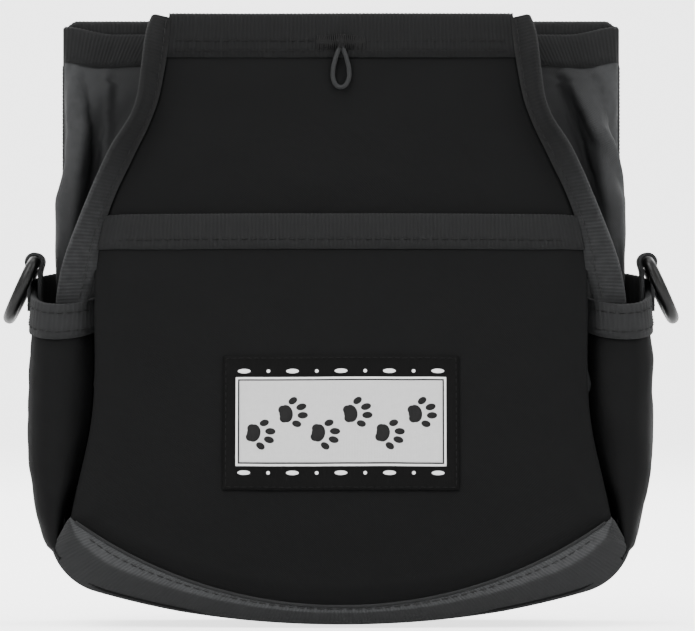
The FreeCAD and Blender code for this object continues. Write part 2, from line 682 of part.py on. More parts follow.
# ---------------------------------------------------------------- the assembly
def build():
    """Every node's shape, before the final shift."""
    nodes = {}
    nodes.update(back_layers())
    nodes["back_top_binding"] = top_binding(BACK_HALF, BACK_IN, 0, BACK_TOP)
    nodes["back_seam_binding"] = back_seam_binding()

    on_both_sides = {
        "side_gusset": side_gusset(),
        "gusset_binding": gusset_binding(),
        "side_pocket": side_pocket(),
        "pocket_binding": pocket_binding(),
        "ring_tab": ring_tab(),
        "ring": placed_ring(),
    }
    for name, shape in on_both_sides.items():
        nodes["right_" + name] = shape
        nodes["left_" + name] = mirrored(shape)
    nodes["bottom_gusset"] = bottom_band(-SEAM, NYLON)
    nodes["bottom_lining"] = bottom_band(-SEAM - NYLON - GAP, LINING)

    nodes["back_pocket_panel"] = rear_tray(0, ZIP_Z - ZIP_HALF_OPENING)
    nodes["back_pocket_facing"] = rear_tray(ZIP_Z + ZIP_HALF_OPENING, BACK_TOP)
    nodes["zip_tapes"] = zip_tapes()
    nodes["zip_coils"] = zip_coils()
    nodes["zip_stops"] = zip_stops()
    nodes["zip_slider"] = zip_slider()
    nodes["zip_pull"] = zip_pull()
    nodes["belt_loop"] = belt_loop()
    nodes["belt_clip_base"] = belt_clip_base()
    nodes["belt_clip_arm"] = belt_clip_arm()
    nodes["clip_rivets"] = clip_rivets()

    front = front_layers()
    front["front_top_binding"] = top_binding(FRONT_TOP_HALF, 0, FRONT_IN, FRONT_TOP)
    front["right_seam_binding"] = side_seam_binding()
    front["left_seam_binding"] = mirrored(side_seam_binding())
    front["bottom_seam_binding"] = bottom_seam_binding()
    front["front_pocket_panel"] = front_pocket_panel()
    front["front_pocket_binding"] = front_pocket_binding()
    front["label"] = label()
    front["loop_stay"] = loop_stay()
    front["clicker_loop"] = clicker_loop()
    for name, shape in front.items():
        nodes[name] = lean(shape)
    return nodes


def main():
    nodes = build()
    whole = Part.makeCompound(list(nodes.values())).optimalBoundingBox(False)
    shift = V(0, -(whole.YMin + whole.YMax) / 2, -whole.ZMin)
    os.makedirs("parts", exist_ok=True)
    for name, shape in nodes.items():
        if not shape.isValid() or not shape.Solids:
            print("PROBLEM", name, "valid", shape.isValid(), "solids", len(shape.Solids))
        shape.translate(shift)
        shape.exportStep(os.path.join("parts", name + ".step"))
    print("shift", shift, "nodes", len(nodes), "lean", round(LEAN, 3), "pivot", round(PIVOT_Y, 3))


main()
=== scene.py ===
"""Looks of the treat pouch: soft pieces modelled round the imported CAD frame.

Lengths in this file are millimetres unless a name says otherwise; mesh() turns them into metres.
"""
import json
import math

import bmesh
import bpy
import numpy as np
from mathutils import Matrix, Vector


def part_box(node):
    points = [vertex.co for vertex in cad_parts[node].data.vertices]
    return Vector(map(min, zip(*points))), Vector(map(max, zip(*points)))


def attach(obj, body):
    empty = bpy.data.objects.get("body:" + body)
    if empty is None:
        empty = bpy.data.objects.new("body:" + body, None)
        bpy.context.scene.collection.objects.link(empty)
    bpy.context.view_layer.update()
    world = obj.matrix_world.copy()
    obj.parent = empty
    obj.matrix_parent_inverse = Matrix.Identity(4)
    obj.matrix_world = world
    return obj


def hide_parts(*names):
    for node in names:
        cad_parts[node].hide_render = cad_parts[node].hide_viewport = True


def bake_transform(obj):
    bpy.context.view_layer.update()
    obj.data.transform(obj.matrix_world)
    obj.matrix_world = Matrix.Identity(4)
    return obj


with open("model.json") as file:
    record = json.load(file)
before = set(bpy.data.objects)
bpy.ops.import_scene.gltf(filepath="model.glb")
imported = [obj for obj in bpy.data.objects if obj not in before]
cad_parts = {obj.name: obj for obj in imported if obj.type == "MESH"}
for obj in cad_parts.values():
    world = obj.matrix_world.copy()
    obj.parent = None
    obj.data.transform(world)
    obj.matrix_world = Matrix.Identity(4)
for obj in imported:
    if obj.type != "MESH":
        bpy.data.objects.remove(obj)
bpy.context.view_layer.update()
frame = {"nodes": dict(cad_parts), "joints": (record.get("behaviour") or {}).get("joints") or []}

MM = 0.001
X = np.array([1.0, 0.0, 0.0])
Y = np.array([0.0, 1.0, 0.0])
Z = np.array([0.0, 0.0, 1.0])
SIDES = (("left", -1), ("right", 1))

# cloth and tape, as sewn
CLOTH = 0.6
TAPE = 0.55
WEBBING = 1.2
RIB_PITCH = 1.25
RIB_HEIGHT = 0.2
RIB_SAMPLES = 4
STITCH_PITCH = 3.1
STITCH_LENGTH = 2.3
THREAD = 0.2

# ---------------------------------------------------------------- the frame, in millimetres
JOINTS = {joint["name"]: joint for joint in frame["joints"]}
HINGE = np.array(JOINTS["mouth_open"]["pos_m"]) / MM


def node_points(node):
    return np.array([v.co for v in frame["nodes"][node].data.vertices]) / MM


def node_box(node):
    low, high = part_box(node)
    return np.array(low) / MM, np.array(high) / MM


def wall_normal():
    """The front wall's outward normal: that of the label's largest face that looks forwards."""
    faces = [p for p in frame["nodes"]["label"].data.polygons if p.normal.y < -0.5]
    return np.array(max(faces, key=lambda p: p.area).normal)


OUT = wall_normal()
UP = np.cross(OUT, X)


def wall(x, v, d):
    """A point of the front wall: x across, v up its slope from the hinge, d out of it."""
    x, v, d = np.broadcast_arrays(x, v, d)
    return HINGE + x[..., None] * X + v[..., None] * UP + d[..., None] * OUT


def in_wall(node):
    """A CAD node's points as (x, v, d) columns."""
    rel = node_points(node) - HINGE
    return rel[:, 0], rel @ UP, rel @ OUT


def wall_face(node):
    """How far out of the front wall a CAD node's outer face lies."""
    return in_wall(node)[2].max()


def edge_curves(x, v):
    """The right half of an outline: its side as (v, x) and its bottom as (x, v), split at its corner."""
    right = x > 0.5
    x, v = x[right], v[right]
    corner = v[x > x.max() - 0.05].min()
    side = sorted({(round(b, 2), round(a, 2)) for a, b in zip(x, v) if b >= corner - 0.01})
    low = sorted({(round(a, 2), round(b, 2)) for a, b in zip(x, v) if b <= corner + 0.01})
    return np.array(side), np.array(low)


SIDE, LOW = edge_curves(*in_wall("front_panel")[:2])
CORNER_V, CORNER_X = SIDE[0]
FRONT_TOP = SIDE[-1, 0]
FRONT_FACE = wall_face("front_panel")
BACK_SIDE, BACK_LOW = edge_curves(node_points("back_panel")[:, 0], node_points("back_panel")[:, 2])
BACK_CORNER_Z, BACK_HALF = BACK_SIDE[0]
BACK_TOP = BACK_SIDE[-1, 0]
BACK_Y = node_box("back_panel")[1][1]
GROUND = HINGE[2]


# the cloth beside the mouth isn't cut to a true line: it stands this much outside the panel's outline
SLACK = np.array(((108, 0.0), (124, 1.2), (146, 2.1), (157, 1.5), (165, 0.0), (174, -1.2), (203, -1.2)))


def front_half(v):
    """Half width of the front panel's cloth at height v of its slope."""
    return np.interp(v, SIDE[:, 0], SIDE[:, 1]) + np.interp(v, SLACK[:, 0], SLACK[:, 1])


def front_low(x):
    """Height of the front panel's bottom edge."""
    return np.interp(np.abs(x), LOW[:, 0], LOW[:, 1])


def back_low(x):
    """Height of the back panel's bottom edge."""
    return np.interp(np.abs(x), BACK_LOW[:, 0], BACK_LOW[:, 1])


def wall_y(z, d=0.0):
    """Where the front wall stands at height z above the ground, d out of its inner face."""
    v = (z - HINGE[2] - d * OUT[2]) / UP[2]
    return HINGE[1] + v * UP[1] + d * OUT[1]


# ---------------------------------------------------------------- shapes
def ease(a, b, t):
    """0 before a, 1 after b, smooth between."""
    t = np.clip((np.asarray(t, float) - a) / (b - a), 0, 1)
    return t * t * (3 - 2 * t)


def ripples(u, v, wavelength, seed):
    """Gentle creases, about -1 to 1: waves of seeded directions over a sheet's own lengths."""
    rng = np.random.default_rng(seed)
    total = np.zeros(np.broadcast(u, v).shape)
    count = 7
    for _ in range(count):
        turn = rng.uniform(0, math.pi)
        length = wavelength * rng.uniform(0.6, 1.7)
        phase = rng.uniform(0, 2 * math.pi)
        total += np.sin((u * math.cos(turn) + v * math.sin(turn)) * 2 * math.pi / length + phase)
    return total / count * 1.6


def unit(vectors):
    return vectors / np.maximum(np.linalg.norm(vectors, axis=-1, keepdims=True), 1e-9)


def normals(grid):
    """Unit normals of a grid of points, from its rows and columns."""
    return unit(np.cross(np.gradient(grid, axis=1), np.gradient(grid, axis=0)))


def lengths(points):
    """Running length along a polyline."""
    steps = np.linalg.norm(np.diff(points, axis=0), axis=1)
    return np.concatenate([[0.0], np.cumsum(steps)])


def resample(points, spacing):
    """The same line with points at an even spacing, rounded at its corners by a spline's eye."""
    points = np.asarray(points, float)
    along = lengths(points)
    count = max(3, int(round(along[-1] / spacing)) + 1)
    even = np.linspace(0, along[-1], count)
    return np.stack([np.interp(even, along, points[:, k]) for k in range(3)], axis=1)


def smooth_line(points, spacing, rounds=3):
    """A line resampled, with its corners softened. Its ends stay."""
    line = resample(points, spacing)
    for _ in range(rounds):
        line[1:-1] = (line[:-2] + 2 * line[1:-1] + line[2:]) / 4
    return line


def mesh(name, verts, faces, material, uv=None, wear_and_painted_light=None):
    """A smooth-shaded mesh object from points in millimetres, its normals facing out."""
    data = bpy.data.meshes.new(name)
    data.from_pydata((np.asarray(verts) * MM).tolist(), [], [list(f) for f in faces])
    if uv is not None:
        loops = np.zeros(len(data.loops), np.int32)
        data.loops.foreach_get("vertex_index", loops)
        layer = data.uv_layers.new(name="UVMap")
        layer.data.foreach_set("uv", (np.asarray(uv) * MM)[loops].astype(np.float32).ravel())
    if wear_and_painted_light is not None:
        attribute = data.attributes.new("wear_and_painted_light", "FLOAT", "POINT")
        attribute.data.foreach_set("value", np.asarray(wear_and_painted_light, np.float32).ravel())
    edit = bmesh.new()
    edit.from_mesh(data)
    bmesh.ops.recalc_face_normals(edit, faces=edit.faces)
    edit.to_mesh(data)
    edit.free()
    data.polygons.foreach_set("use_smooth", [True] * len(data.polygons))
    data.materials.append(material)
    piece = bpy.data.objects.new(name, data)
    bpy.context.scene.collection.objects.link(piece)
    return piece


def shell(name, outer, inner, material, wear_and_painted_light=None):
    """A closed sheet between two grids of points, with length along the cloth as its UVs."""
    rows, cols = outer.shape[:2]
    count = rows * cols
    index = np.arange(count).reshape(rows, cols)

    def quads(a, b, c, d):
        return np.stack([a.ravel(), b.ravel(), c.ravel(), d.ravel()], axis=1)

    sheet = quads(index[:-1, :-1], index[:-1, 1:], index[1:, 1:], index[1:, :-1])
    faces = [sheet, sheet[:, ::-1] + count]
    for line in (index[0], index[-1][::-1], index[::-1, 0], index[:, -1]):
        faces.append(quads(line[1:], line[:-1], line[:-1] + count, line[1:] + count))
    across = np.linalg.norm(np.diff(outer, axis=1), axis=2).mean(axis=0)
    along = np.linalg.norm(np.diff(outer, axis=0), axis=2).mean(axis=1)
    u, v = np.meshgrid(np.r_[0, np.cumsum(across)], np.r_[0, np.cumsum(along)])
    uv = np.stack([u.ravel(), v.ravel()], axis=1)
    points = np.concatenate([outer.reshape(-1, 3), inner.reshape(-1, 3)])
    if wear_and_painted_light is not None:
        wear_and_painted_light = np.tile(np.broadcast_to(wear_and_painted_light, (rows, cols)).ravel(), 2)
    return mesh(name, points, np.concatenate(faces), material, np.tile(uv, (2, 1)), wear_and_painted_light)


def cloth(name, outer, material, thickness=CLOTH, side=1, wear_and_painted_light=None):
    """A sheet of cloth under a grid of outer points; side turns it over."""
    return shell(name, outer, outer - side * thickness * normals(outer), material, wear_and_painted_light)


def fold_profile(front, back, half, nose, pinch=0.0, rows=4, turn=5):
    """(down, out, normal down, normal out) rows of a tape folded over an edge.

    pinch is the share of its thickness that the tape loses by its selvedges.
    """
    profile = [(front * k / rows, half * (1 - pinch * k / rows), 0, 1) for k in range(rows, 0, -1)]
    for k in range(turn + 1):
        angle = math.pi * k / turn
        profile.append((-nose * math.sin(angle), half * math.cos(angle), -math.sin(angle), math.cos(angle)))
    profile += [(back * k / rows, -half * (1 - pinch * k / rows), 0, -1) for k in range(1, rows + 1)]
    return np.array(profile)


def binding(name, edge, down, out, front, back, half, material, nose=None, pinch=0.0, pitch=RIB_PITCH, rib=RIB_HEIGHT,
            worn_and_lit=1.0, closed_ends=False):
    """Ribbed tape folded over an edge line.

    down points from the edge into the cloth and out is the front leaf's normal, each one
    vector or one per point of the edge; front and back are the two leaves' widths, each a
    number or one per point; half is half the folded tape's thickness and nose how far its
    fold stands over the edge; rib is the height of the tape's ribs, which also sets how much darker
    the rib troughs are painted as shade, and the paleness argument how pale the tape is painted,
    rubbed places and painted light alike, again one number or one per point. closed_ends presses the two leaves
    together.
    """
    edge = np.asarray(edge, float)
    along = lengths(edge)
    samples = max(8, int(along[-1] / pitch * RIB_SAMPLES))
    even = np.linspace(0, along[-1], samples)

    def spread(values):
        values = np.asarray(values, float)
        if values.ndim == 0:
            return np.full(samples, float(values))
        if values.ndim == 1 and len(values) == len(edge):
            return np.interp(even, along, values)
        values = np.broadcast_to(values, edge.shape)
        return np.stack([np.interp(even, along, values[:, k]) for k in range(3)], axis=1)

    line, down, out = spread(edge), unit(spread(down)), unit(spread(out))
    front, back = spread(front), spread(back)
    profile = fold_profile(1.0, 1.0, half, half if nose is None else nose, pinch)
    rows = len(profile)
    leaf = np.where(np.arange(rows)[:, None] < rows / 2, front[None, :], back[None, :])
    flat = np.isin(profile[:, 2], (0.0,))[:, None]
    a = np.where(flat, profile[:, 0:1] * leaf, profile[:, 0:1])
    end = np.minimum(even, along[-1] - even)
    press = 1 - 0.7 * (1 - np.sqrt(np.clip(end / (0.7 * half), 0, 1))) * closed_ends
    b = profile[:, 1:2] * press[None, :]
    level = 0.5 + 0.5 * np.cos(even / pitch * 2 * math.pi)
    selvedge = np.ones(rows)
    selvedge[[0, -1]] = 0.0
    lift = rib * level[None, :] * selvedge[:, None]

    def place(a, b):
        return line[None] + a[..., None] * down[None] + b[..., None] * out[None]

    outer = place(a + lift * profile[:, 2:3], b + lift * profile[:, 3:4])
    inner = place(np.where(flat, a, a * (1 - TAPE / half)), b * (1 - TAPE / half))
    # Painted shade: the rib troughs are painted darker; the fold over the edge is paler.
    fold = np.exp(-((np.arange(rows) - rows / 2 + 0.5) / 1.5) ** 2)
    contrast = rib / RIB_HEIGHT
    shade = np.clip(1 - contrast * (1 - level ** 2), 0, None) * spread(worn_and_lit)
    wear_and_painted_light = np.clip(fold + 0.45, 0, 1)[:, None] * shade[None, :]
    return shell(name, outer, inner, material, wear_and_painted_light)


def stitches(name, line, out, material, pitch=STITCH_PITCH, length=STITCH_LENGTH, radius=THREAD):
    """A row of thread stitches along a line, each a short capsule that dips at its ends."""
    line = np.asarray(line, float)
    coarse = lengths(line)
    out = np.broadcast_to(np.asarray(out, float), line.shape)
    along = np.linspace(0, coarse[-1], max(3, int(coarse[-1] / 0.4)))
    line = np.stack([np.interp(along, coarse, line[:, k]) for k in range(3)], axis=1)
    out = unit(np.stack([np.interp(along, coarse, out[:, k]) for k in range(3)], axis=1))
    rings, spokes = 6, 6
    verts, faces = [], []
    start = (along[-1] % pitch) / 2
    while start + length <= along[-1] + 1e-6:
        first = len(verts)
        for k in range(rings):
            share = k / (rings - 1)
            at = start + length * share
            centre = np.array([np.interp(at, along, line[:, i]) for i in range(3)])
            ahead = np.array([np.interp(at + 0.3, along, line[:, i]) for i in range(3)])
            behind = np.array([np.interp(at - 0.3, along, line[:, i]) for i in range(3)])
            normal = out[min(len(out) - 1, int(at / max(along[-1], 1e-6) * (len(out) - 1)))]
            sideways = unit(np.cross(normal, ahead - behind))
            plump = math.sin(math.pi * (0.08 + 0.84 * share))
            lift = radius * (1.5 * plump - 0.9)
            for j in range(spokes):
                turn = 2 * math.pi * j / spokes
                reach = radius * (0.35 + 0.65 * plump)
                verts.append(centre + normal * (lift + reach * math.sin(turn)) + sideways * reach * math.cos(turn))
        for k in range(rings - 1):
            for j in range(spokes):
                a, b = first + k * spokes + j, first + k * spokes + (j + 1) % spokes
                faces.append((a, b, b + spokes, a + spokes))
        last = first + (rings - 1) * spokes
        faces.append(tuple(range(first, first + spokes)))
        faces.append(tuple(range(last + spokes - 1, last - 1, -1)))
        start += pitch
    return mesh(name, np.array(verts), faces, material)


def tube(name, path, radius, material, spokes=12, strands=0, lay=4.0, closed=False):
    """A round or twisted cord along a path."""
    path = np.asarray(path, float)
    count = len(path)
    if closed:
        tangent = unit(np.roll(path, -1, axis=0) - np.roll(path, 1, axis=0))
    else:
        tangent = unit(np.gradient(path, axis=0))
    side = np.zeros_like(path)
    side[0] = unit(np.cross(tangent[0], Y if abs(tangent[0] @ Y) < 0.9 else X))
    for k in range(1, count):
        side[k] = unit(side[k - 1] - tangent[k] * (side[k - 1] @ tangent[k]))
    up = np.cross(tangent, side)
    turn = np.linspace(0, 2 * math.pi, spokes, endpoint=False)
    along = lengths(path)
    reach = radius * np.ones((count, spokes))
    if strands:
        reach *= 1 + 0.13 * np.abs(np.sin((turn[None] * strands + along[:, None] * 2 * math.pi / lay) / 2)) - 0.06
    ring = np.cos(turn)[None, :, None] * side[:, None] + np.sin(turn)[None, :, None] * up[:, None]
    verts = (path[:, None] + reach[..., None] * ring).reshape(-1, 3)
    faces = []
    for k in range(count if closed else count - 1):
        for j in range(spokes):
            a, b = k * spokes + j, k * spokes + (j + 1) % spokes
            c, d = ((k + 1) % count) * spokes + (j + 1) % spokes, ((k + 1) % count) * spokes + j
            faces.append((a, b, c, d))
    if not closed:
        faces.append(tuple(range(spokes)))
        faces.append(tuple(range(len(verts) - 1, len(verts) - 1 - spokes, -1)))
    uv = np.stack(np.meshgrid(turn * radius, along), axis=-1).reshape(-1, 2)
    return mesh(name, verts, faces, material, uv)


def dress(piece, body, slot, *nodes):
    """A piece that rides on one body and stands for some CAD nodes."""
    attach(piece, body)
    if nodes:
        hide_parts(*nodes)
    return piece


def bend(piece, slot, share, *nodes, far="front_wall"):
    """Bakes a piece's transform into its mesh and hides the CAD nodes it stands for.

    share, how far each point would go from the root (0) to the far body (1), is spread over the
    points but not used further; a closed sheet has its outer points first and then as many inner ones.
    """
    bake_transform(piece)
    weights = np.asarray(share, np.float32).ravel()
    weights = np.tile(weights, len(piece.data.vertices) // len(weights))
    if nodes:
        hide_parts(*nodes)
    return piece


FOLD_ROWS = len(fold_profile(1.0, 1.0, 1.0, 1.0))


# ---------------------------------------------------------------- materials
class Paint:
    """One node material, built with short calls."""

    def __init__(self, name):
        self.material = bpy.data.materials.new(name)
        self.material.use_nodes = True
        self.tree = self.material.node_tree
        self.bsdf = self.tree.nodes["Principled BSDF"]

    def node(self, kind, **settings):
        made = self.tree.nodes.new(kind)
        for key, value in settings.items():
            setattr(made, key, value)
        return made

    def feed(self, socket, value):
        """Links an output to an input socket, or sets the socket's value."""
        if isinstance(value, bpy.types.NodeSocket):
            self.tree.links.new(value, socket)
        else:
            socket.default_value = value

    def calc(self, operation, a, b=0.0):
        made = self.node("ShaderNodeMath", operation=operation)
        self.feed(made.inputs[0], a)
        self.feed(made.inputs[1], b)
        return made.outputs[0]

    def uv(self):
        split = self.node("ShaderNodeSeparateXYZ")
        self.feed(split.inputs[0], self.node("ShaderNodeTexCoord").outputs["UV"])
        return split.outputs[0], split.outputs[1]

    def wave(self, along, pitch):
        """A sine along a length in metres, with this pitch in millimetres."""
        return self.calc("SINE", self.calc("MULTIPLY", along, 2 * math.pi / (pitch * MM)))

    def noise(self, size, detail=3.0, rough=0.55):
        """Noise whose lumps are about size millimetres across, from 0 to 1."""
        made = self.node("ShaderNodeTexNoise")
        self.feed(made.inputs["Vector"], self.node("ShaderNodeTexCoord").outputs["Object"])
        made.inputs["Scale"].default_value = 1 / (size * MM)
        made.inputs["Detail"].default_value = detail
        made.inputs["Roughness"].default_value = rough
        return made.outputs["Fac"]

    def spread(self, value, low, high):
        """Stretches 0 to 1 into low to high."""
        made = self.node("ShaderNodeMapRange")
        self.feed(made.inputs["Value"], value)
        made.inputs["To Min"].default_value = low
        made.inputs["To Max"].default_value = high
        return made.outputs["Result"]

    def mix(self, share, a, b):
        made = self.node("ShaderNodeMix", data_type="RGBA")
        self.feed(made.inputs["Factor"], share)
        for socket, colour in ((made.inputs["A"], a), (made.inputs["B"], b)):
            self.feed(socket, colour if isinstance(colour, bpy.types.NodeSocket) else (*colour, 1.0))
        return made.outputs["Result"]

    def bump(self, height, distance, strength=1.0, under=None):
        made = self.node("ShaderNodeBump")
        made.inputs["Strength"].default_value = strength
        made.inputs["Distance"].default_value = distance * MM
        self.feed(made.inputs["Height"], height)
        if under is not None:
            self.feed(made.inputs["Normal"], under)
        return made.outputs["Normal"]

    def attribute(self, name):
        return self.node("ShaderNodeAttribute", attribute_name=name).outputs["Fac"]

    def finish(self, **values):
        for key, value in values.items():
            socket = self.bsdf.inputs[key.replace("_", " ")]
            if isinstance(value, tuple) and len(value) == 3:
                value = (*value, 1.0)
            self.feed(socket, value)
        return self.material


def grey(level, warmth=0.0):
    """A near-neutral linear colour; positive warmth is redder, negative bluer."""
    return (level * (1 + warmth), level, level * (1 - warmth))


def fabric(name, level, pitch, depth, rough=0.72, shine=0.3, sheen=0.12, pale=2.4, blotch=0.25, warmth=-0.03):
    """Woven cloth: a plain weave of the given pitch, colour blotches, and pale places, rubbed ones and painted light
    alike, pale times as light.
    """
    paint = Paint(name)
    u, v = paint.uv()
    crossing = paint.calc("MULTIPLY", paint.wave(u, pitch), paint.wave(v, pitch))
    threads = paint.spread(crossing, 0.0, 1.0)
    blot = paint.noise(14.0)
    fuzz = paint.noise(0.5, detail=2.0)
    share = paint.calc("ADD", paint.calc("MULTIPLY", threads, 0.5), paint.calc("MULTIPLY", blot, 0.5))
    colour = paint.mix(share, grey(level * (1 - blotch), warmth), grey(level * (1 + blotch), warmth))
    # The per-point attribute marks rubbed places and painted light alike: lit rolls and facets painted pale, rib
    # troughs painted dark.
    worn_and_lit = paint.calc("MULTIPLY", paint.attribute("wear_and_painted_light"), paint.spread(paint.noise(2.5), 0.1, 0.7))
    colour = paint.mix(worn_and_lit, colour, grey(level * pale + 0.002, warmth))
    height = paint.calc("ADD", crossing, paint.calc("MULTIPLY", fuzz, 0.7))
    crease = paint.bump(paint.noise(9.0, detail=2.0), 0.25)
    return paint.finish(
        Base_Color=colour,
        Roughness=paint.spread(blot, rough - 0.07, rough + 0.09),
        Specular_IOR_Level=shine,
        Sheen_Weight=sheen,
        Sheen_Roughness=0.5,
        Normal=paint.bump(height, depth, 0.7, crease),
    )


def woven_label(name, level, shine=0.15, warmth=0.0):
    """Damask label cloth: fine weft lines and a slight silk shine."""
    paint = Paint(name)
    u, v = paint.uv()
    weft = paint.wave(v, 0.36)
    warp = paint.wave(u, 0.5)
    height = paint.calc("ADD", weft, paint.calc("MULTIPLY", warp, 0.5))
    share = paint.calc("ADD", paint.spread(weft, 0.0, 0.5), paint.calc("MULTIPLY", paint.noise(1.2), 0.5))
    colour = paint.mix(share, grey(level * 0.84, warmth), grey(level * 1.1, warmth))
    return paint.finish(
        Base_Color=colour, Roughness=paint.spread(paint.noise(3.0), 0.5, 0.66),
        Specular_IOR_Level=shine, Normal=paint.bump(height, 0.05, 0.6),
    )


def thread(name, level):
    """Twisted sewing thread: fine slanting ridges."""
    paint = Paint(name)
    twist = paint.node("ShaderNodeTexWave", bands_direction="DIAGONAL")
    paint.feed(twist.inputs["Vector"], paint.node("ShaderNodeTexCoord").outputs["Object"])
    twist.inputs["Scale"].default_value = 1.0 / (0.9 * MM)
    colour = paint.mix(twist.outputs["Fac"], grey(level * 0.7), grey(level * 1.3))
    return paint.finish(
        Base_Color=colour, Roughness=0.6, Specular_IOR_Level=0.15,
        Normal=paint.bump(twist.outputs["Fac"], 0.05, 0.5),
    )


def metal(name, level, rough, scratch=0.06, warmth=0.0, worn_and_lit=0.0):
    """Plated metal: fine scratches, cloudy roughness, and brighter worn patches."""
    paint = Paint(name)
    cloud = paint.noise(4.0, detail=4.0)
    streak = paint.node("ShaderNodeTexNoise")
    stretch = paint.node("ShaderNodeMapping")
    paint.feed(stretch.inputs["Vector"], paint.node("ShaderNodeTexCoord").outputs["Object"])
    stretch.inputs["Scale"].default_value = (1.0, 8.0, 1.0)
    paint.feed(streak.inputs["Vector"], stretch.outputs[0])
    streak.inputs["Scale"].default_value = 1 / (2.0 * MM)
    streak.inputs["Detail"].default_value = 5.0
    edge = paint.calc("GREATER_THAN", cloud, 1.0 - worn_and_lit) if worn_and_lit else 0.0
    dark = paint.mix(cloud, grey(level * 0.8, warmth), grey(level * 1.2, warmth))
    colour = paint.mix(edge, dark, grey(min(1.0, level * 1.8 + 0.05), warmth))
    return paint.finish(
        Base_Color=colour, Metallic=1.0,
        Roughness=paint.spread(cloud, rough - 0.08, rough + 0.1),
        Normal=paint.bump(streak.outputs["Fac"], scratch * 0.3, 0.4),
    )


def enamel(name, level, rough=0.38):
    """Black-coated steel, orange-peel bump and paler rubbed spots."""
    paint = Paint(name)
    rub = paint.spread(paint.noise(2.2, detail=5.0), -0.6, 0.7)
    colour = paint.mix(paint.calc("MAXIMUM", rub, 0.0), grey(level), grey(level * 4 + 0.02))
    return paint.finish(
        Base_Color=colour, Roughness=paint.spread(paint.noise(5.0), rough - 0.08, rough + 0.12),
        Coat_Weight=0.15, Normal=paint.bump(paint.noise(0.8), 0.03, 0.5),
    )


def plastic(name, colour, rough, grain=0.4):
    """Moulded or sheet plastic with a fine grain."""
    paint = Paint(name)
    tone = paint.mix(paint.noise(8.0), tuple(c * 0.85 for c in colour), tuple(min(1, c * 1.12) for c in colour))
    return paint.finish(
        Base_Color=tone, Roughness=paint.spread(paint.noise(3.0), rough - 0.06, rough + 0.08),
        Normal=paint.bump(paint.noise(grain, detail=4.0), 0.04, 0.6),
    )


NYLON = fabric("nylon_pack_cloth", 0.0034, 0.55, 0.05, rough=0.64, shine=0.07, sheen=0.0)
# The gussets' nylon, painted about five times lighter than the body's same nylon to stand in for the light they catch.
LIT_GUSSET_NYLON = fabric("gusset_nylon_painted_light", 0.0165, 0.55, 0.05, rough=0.64, shine=0.14, sheen=0.0, pale=1.8)
LINING = fabric("coated_lining", 0.006, 0.4, 0.03, rough=0.5, shine=0.14, sheen=0.0)
GROSGRAIN = fabric("grosgrain_tape", 0.0068, 0.3, 0.04, rough=0.74, shine=0.14, sheen=0.03)
# Its pale places carry the side straps' painted highlight.
SEAM_TAPE = fabric("seam_tape", 0.0048, 0.3, 0.04, rough=0.76, shine=0.12, sheen=0.03, pale=5.0)
HEM_TAPE = fabric("hem_tape", 0.0052, 0.3, 0.04, rough=0.74, shine=0.12, sheen=0.03)
RIM_TAPE = fabric("rim_tape", 0.0115, 0.3, 0.04, rough=0.76, shine=0.14, sheen=0.04)
ZIP_TAPE = fabric("zip_tape", 0.012, 0.35, 0.04, rough=0.75)
# Its pale places carry the bottom tape's painted lit strip.
BASE_TAPE = fabric("bottom_tape", 0.0125, 0.3, 0.04, rough=0.76, shine=0.16, sheen=0.04, pale=2.9)
WEB = fabric("tab_webbing", 0.015, 0.8, 0.12, rough=0.7, shine=0.15, sheen=0.03)
CORD = fabric("clicker_cord", 0.018, 0.35, 0.05, rough=0.7, shine=0.15, sheen=0.03)
BLACK_THREAD = thread("black_thread", 0.004)
GREY_THREAD = thread("grey_thread", 0.014)
RIM_THREAD = thread("rim_thread", 0.007)
LABEL_DARK = woven_label("label_ground", 0.0035, shine=0.04)
LABEL_LIGHT = woven_label("label_field", 0.52)
LABEL_WHITE = woven_label("label_white", 0.8)
LABEL_BLACK = woven_label("label_black", 0.005)
RING_METAL = metal("dark_nickel", 0.024, 0.36, worn_and_lit=0.25)
ZIP_METAL = enamel("zip_enamel", 0.012)
SPRING_STEEL = enamel("coated_spring_steel", 0.01, 0.33)
COIL_NYLON = plastic("zip_coil_nylon", (0.014, 0.014, 0.015), 0.42)
BOARD = plastic("stiffener_board", (0.62, 0.62, 0.58), 0.5)
MAGNET = plastic("bonded_magnet", (0.09, 0.08, 0.075), 0.6)


# ---------------------------------------------------------------- front wall
HEM_LEAF = 14.0
TAPE_LEAF = 11.0
POCKET_TOP = in_wall("front_pocket_panel")[1].max()
POCKET_FACE = wall_face("front_pocket_panel")
POCKET_RISE = 7.0        # the pocket's edge climbs to its face within this distance
POCKET_PUFF = 2.6
LINING_TURN = 2.6        # beside the side pockets the lining turns up to the front cloth within this distance


def front_grid(low_inset, side_inset, bottom, top, cols, rows):
    """x and v over the front panel's outline, from a bottom edge (None: the panel's own) to a straight top."""
    s = np.linspace(-1, 1, cols)[None, :]
    t = np.linspace(0, 1, rows)[:, None]
    if bottom is None:
        low = front_low(s * (CORNER_X - side_inset)) + low_inset
        side_v = CORNER_V + t * (top - CORNER_V)
    else:
        low = np.full_like(s, bottom)
        side_v = bottom + t * (top - bottom)
    x = s * (front_half(side_v) - side_inset)
    return x, (1 - t) * low + t * top


def pocket_face(x, v):
    """How far out of the wall the patch pocket's cloth stands."""
    side = front_half(v) - np.abs(x)
    low = v - front_low(x) - 1.0
    edge = np.minimum(side, low)
    rise = (POCKET_FACE - FRONT_FACE - CLOTH) * ease(0, POCKET_RISE, edge)
    puff = POCKET_PUFF * ease(0, 55, side) * ease(0, 40, low) * (1 - 0.5 * ease(80, 120, v))
    crease = 0.5 * ripples(x, v, 70, 11) + 0.18 * ripples(x, v, 22, 12)
    crease = crease + 0.7 * np.exp(-((side - 9 - 0.05 * (v - 60)) / 4.5) ** 2) * ease(20, 60, v)
    return FRONT_FACE + CLOTH + rise + puff + np.maximum(crease, -0.3) * ease(2, 16, edge) * (1 - ease(112, 122, v))


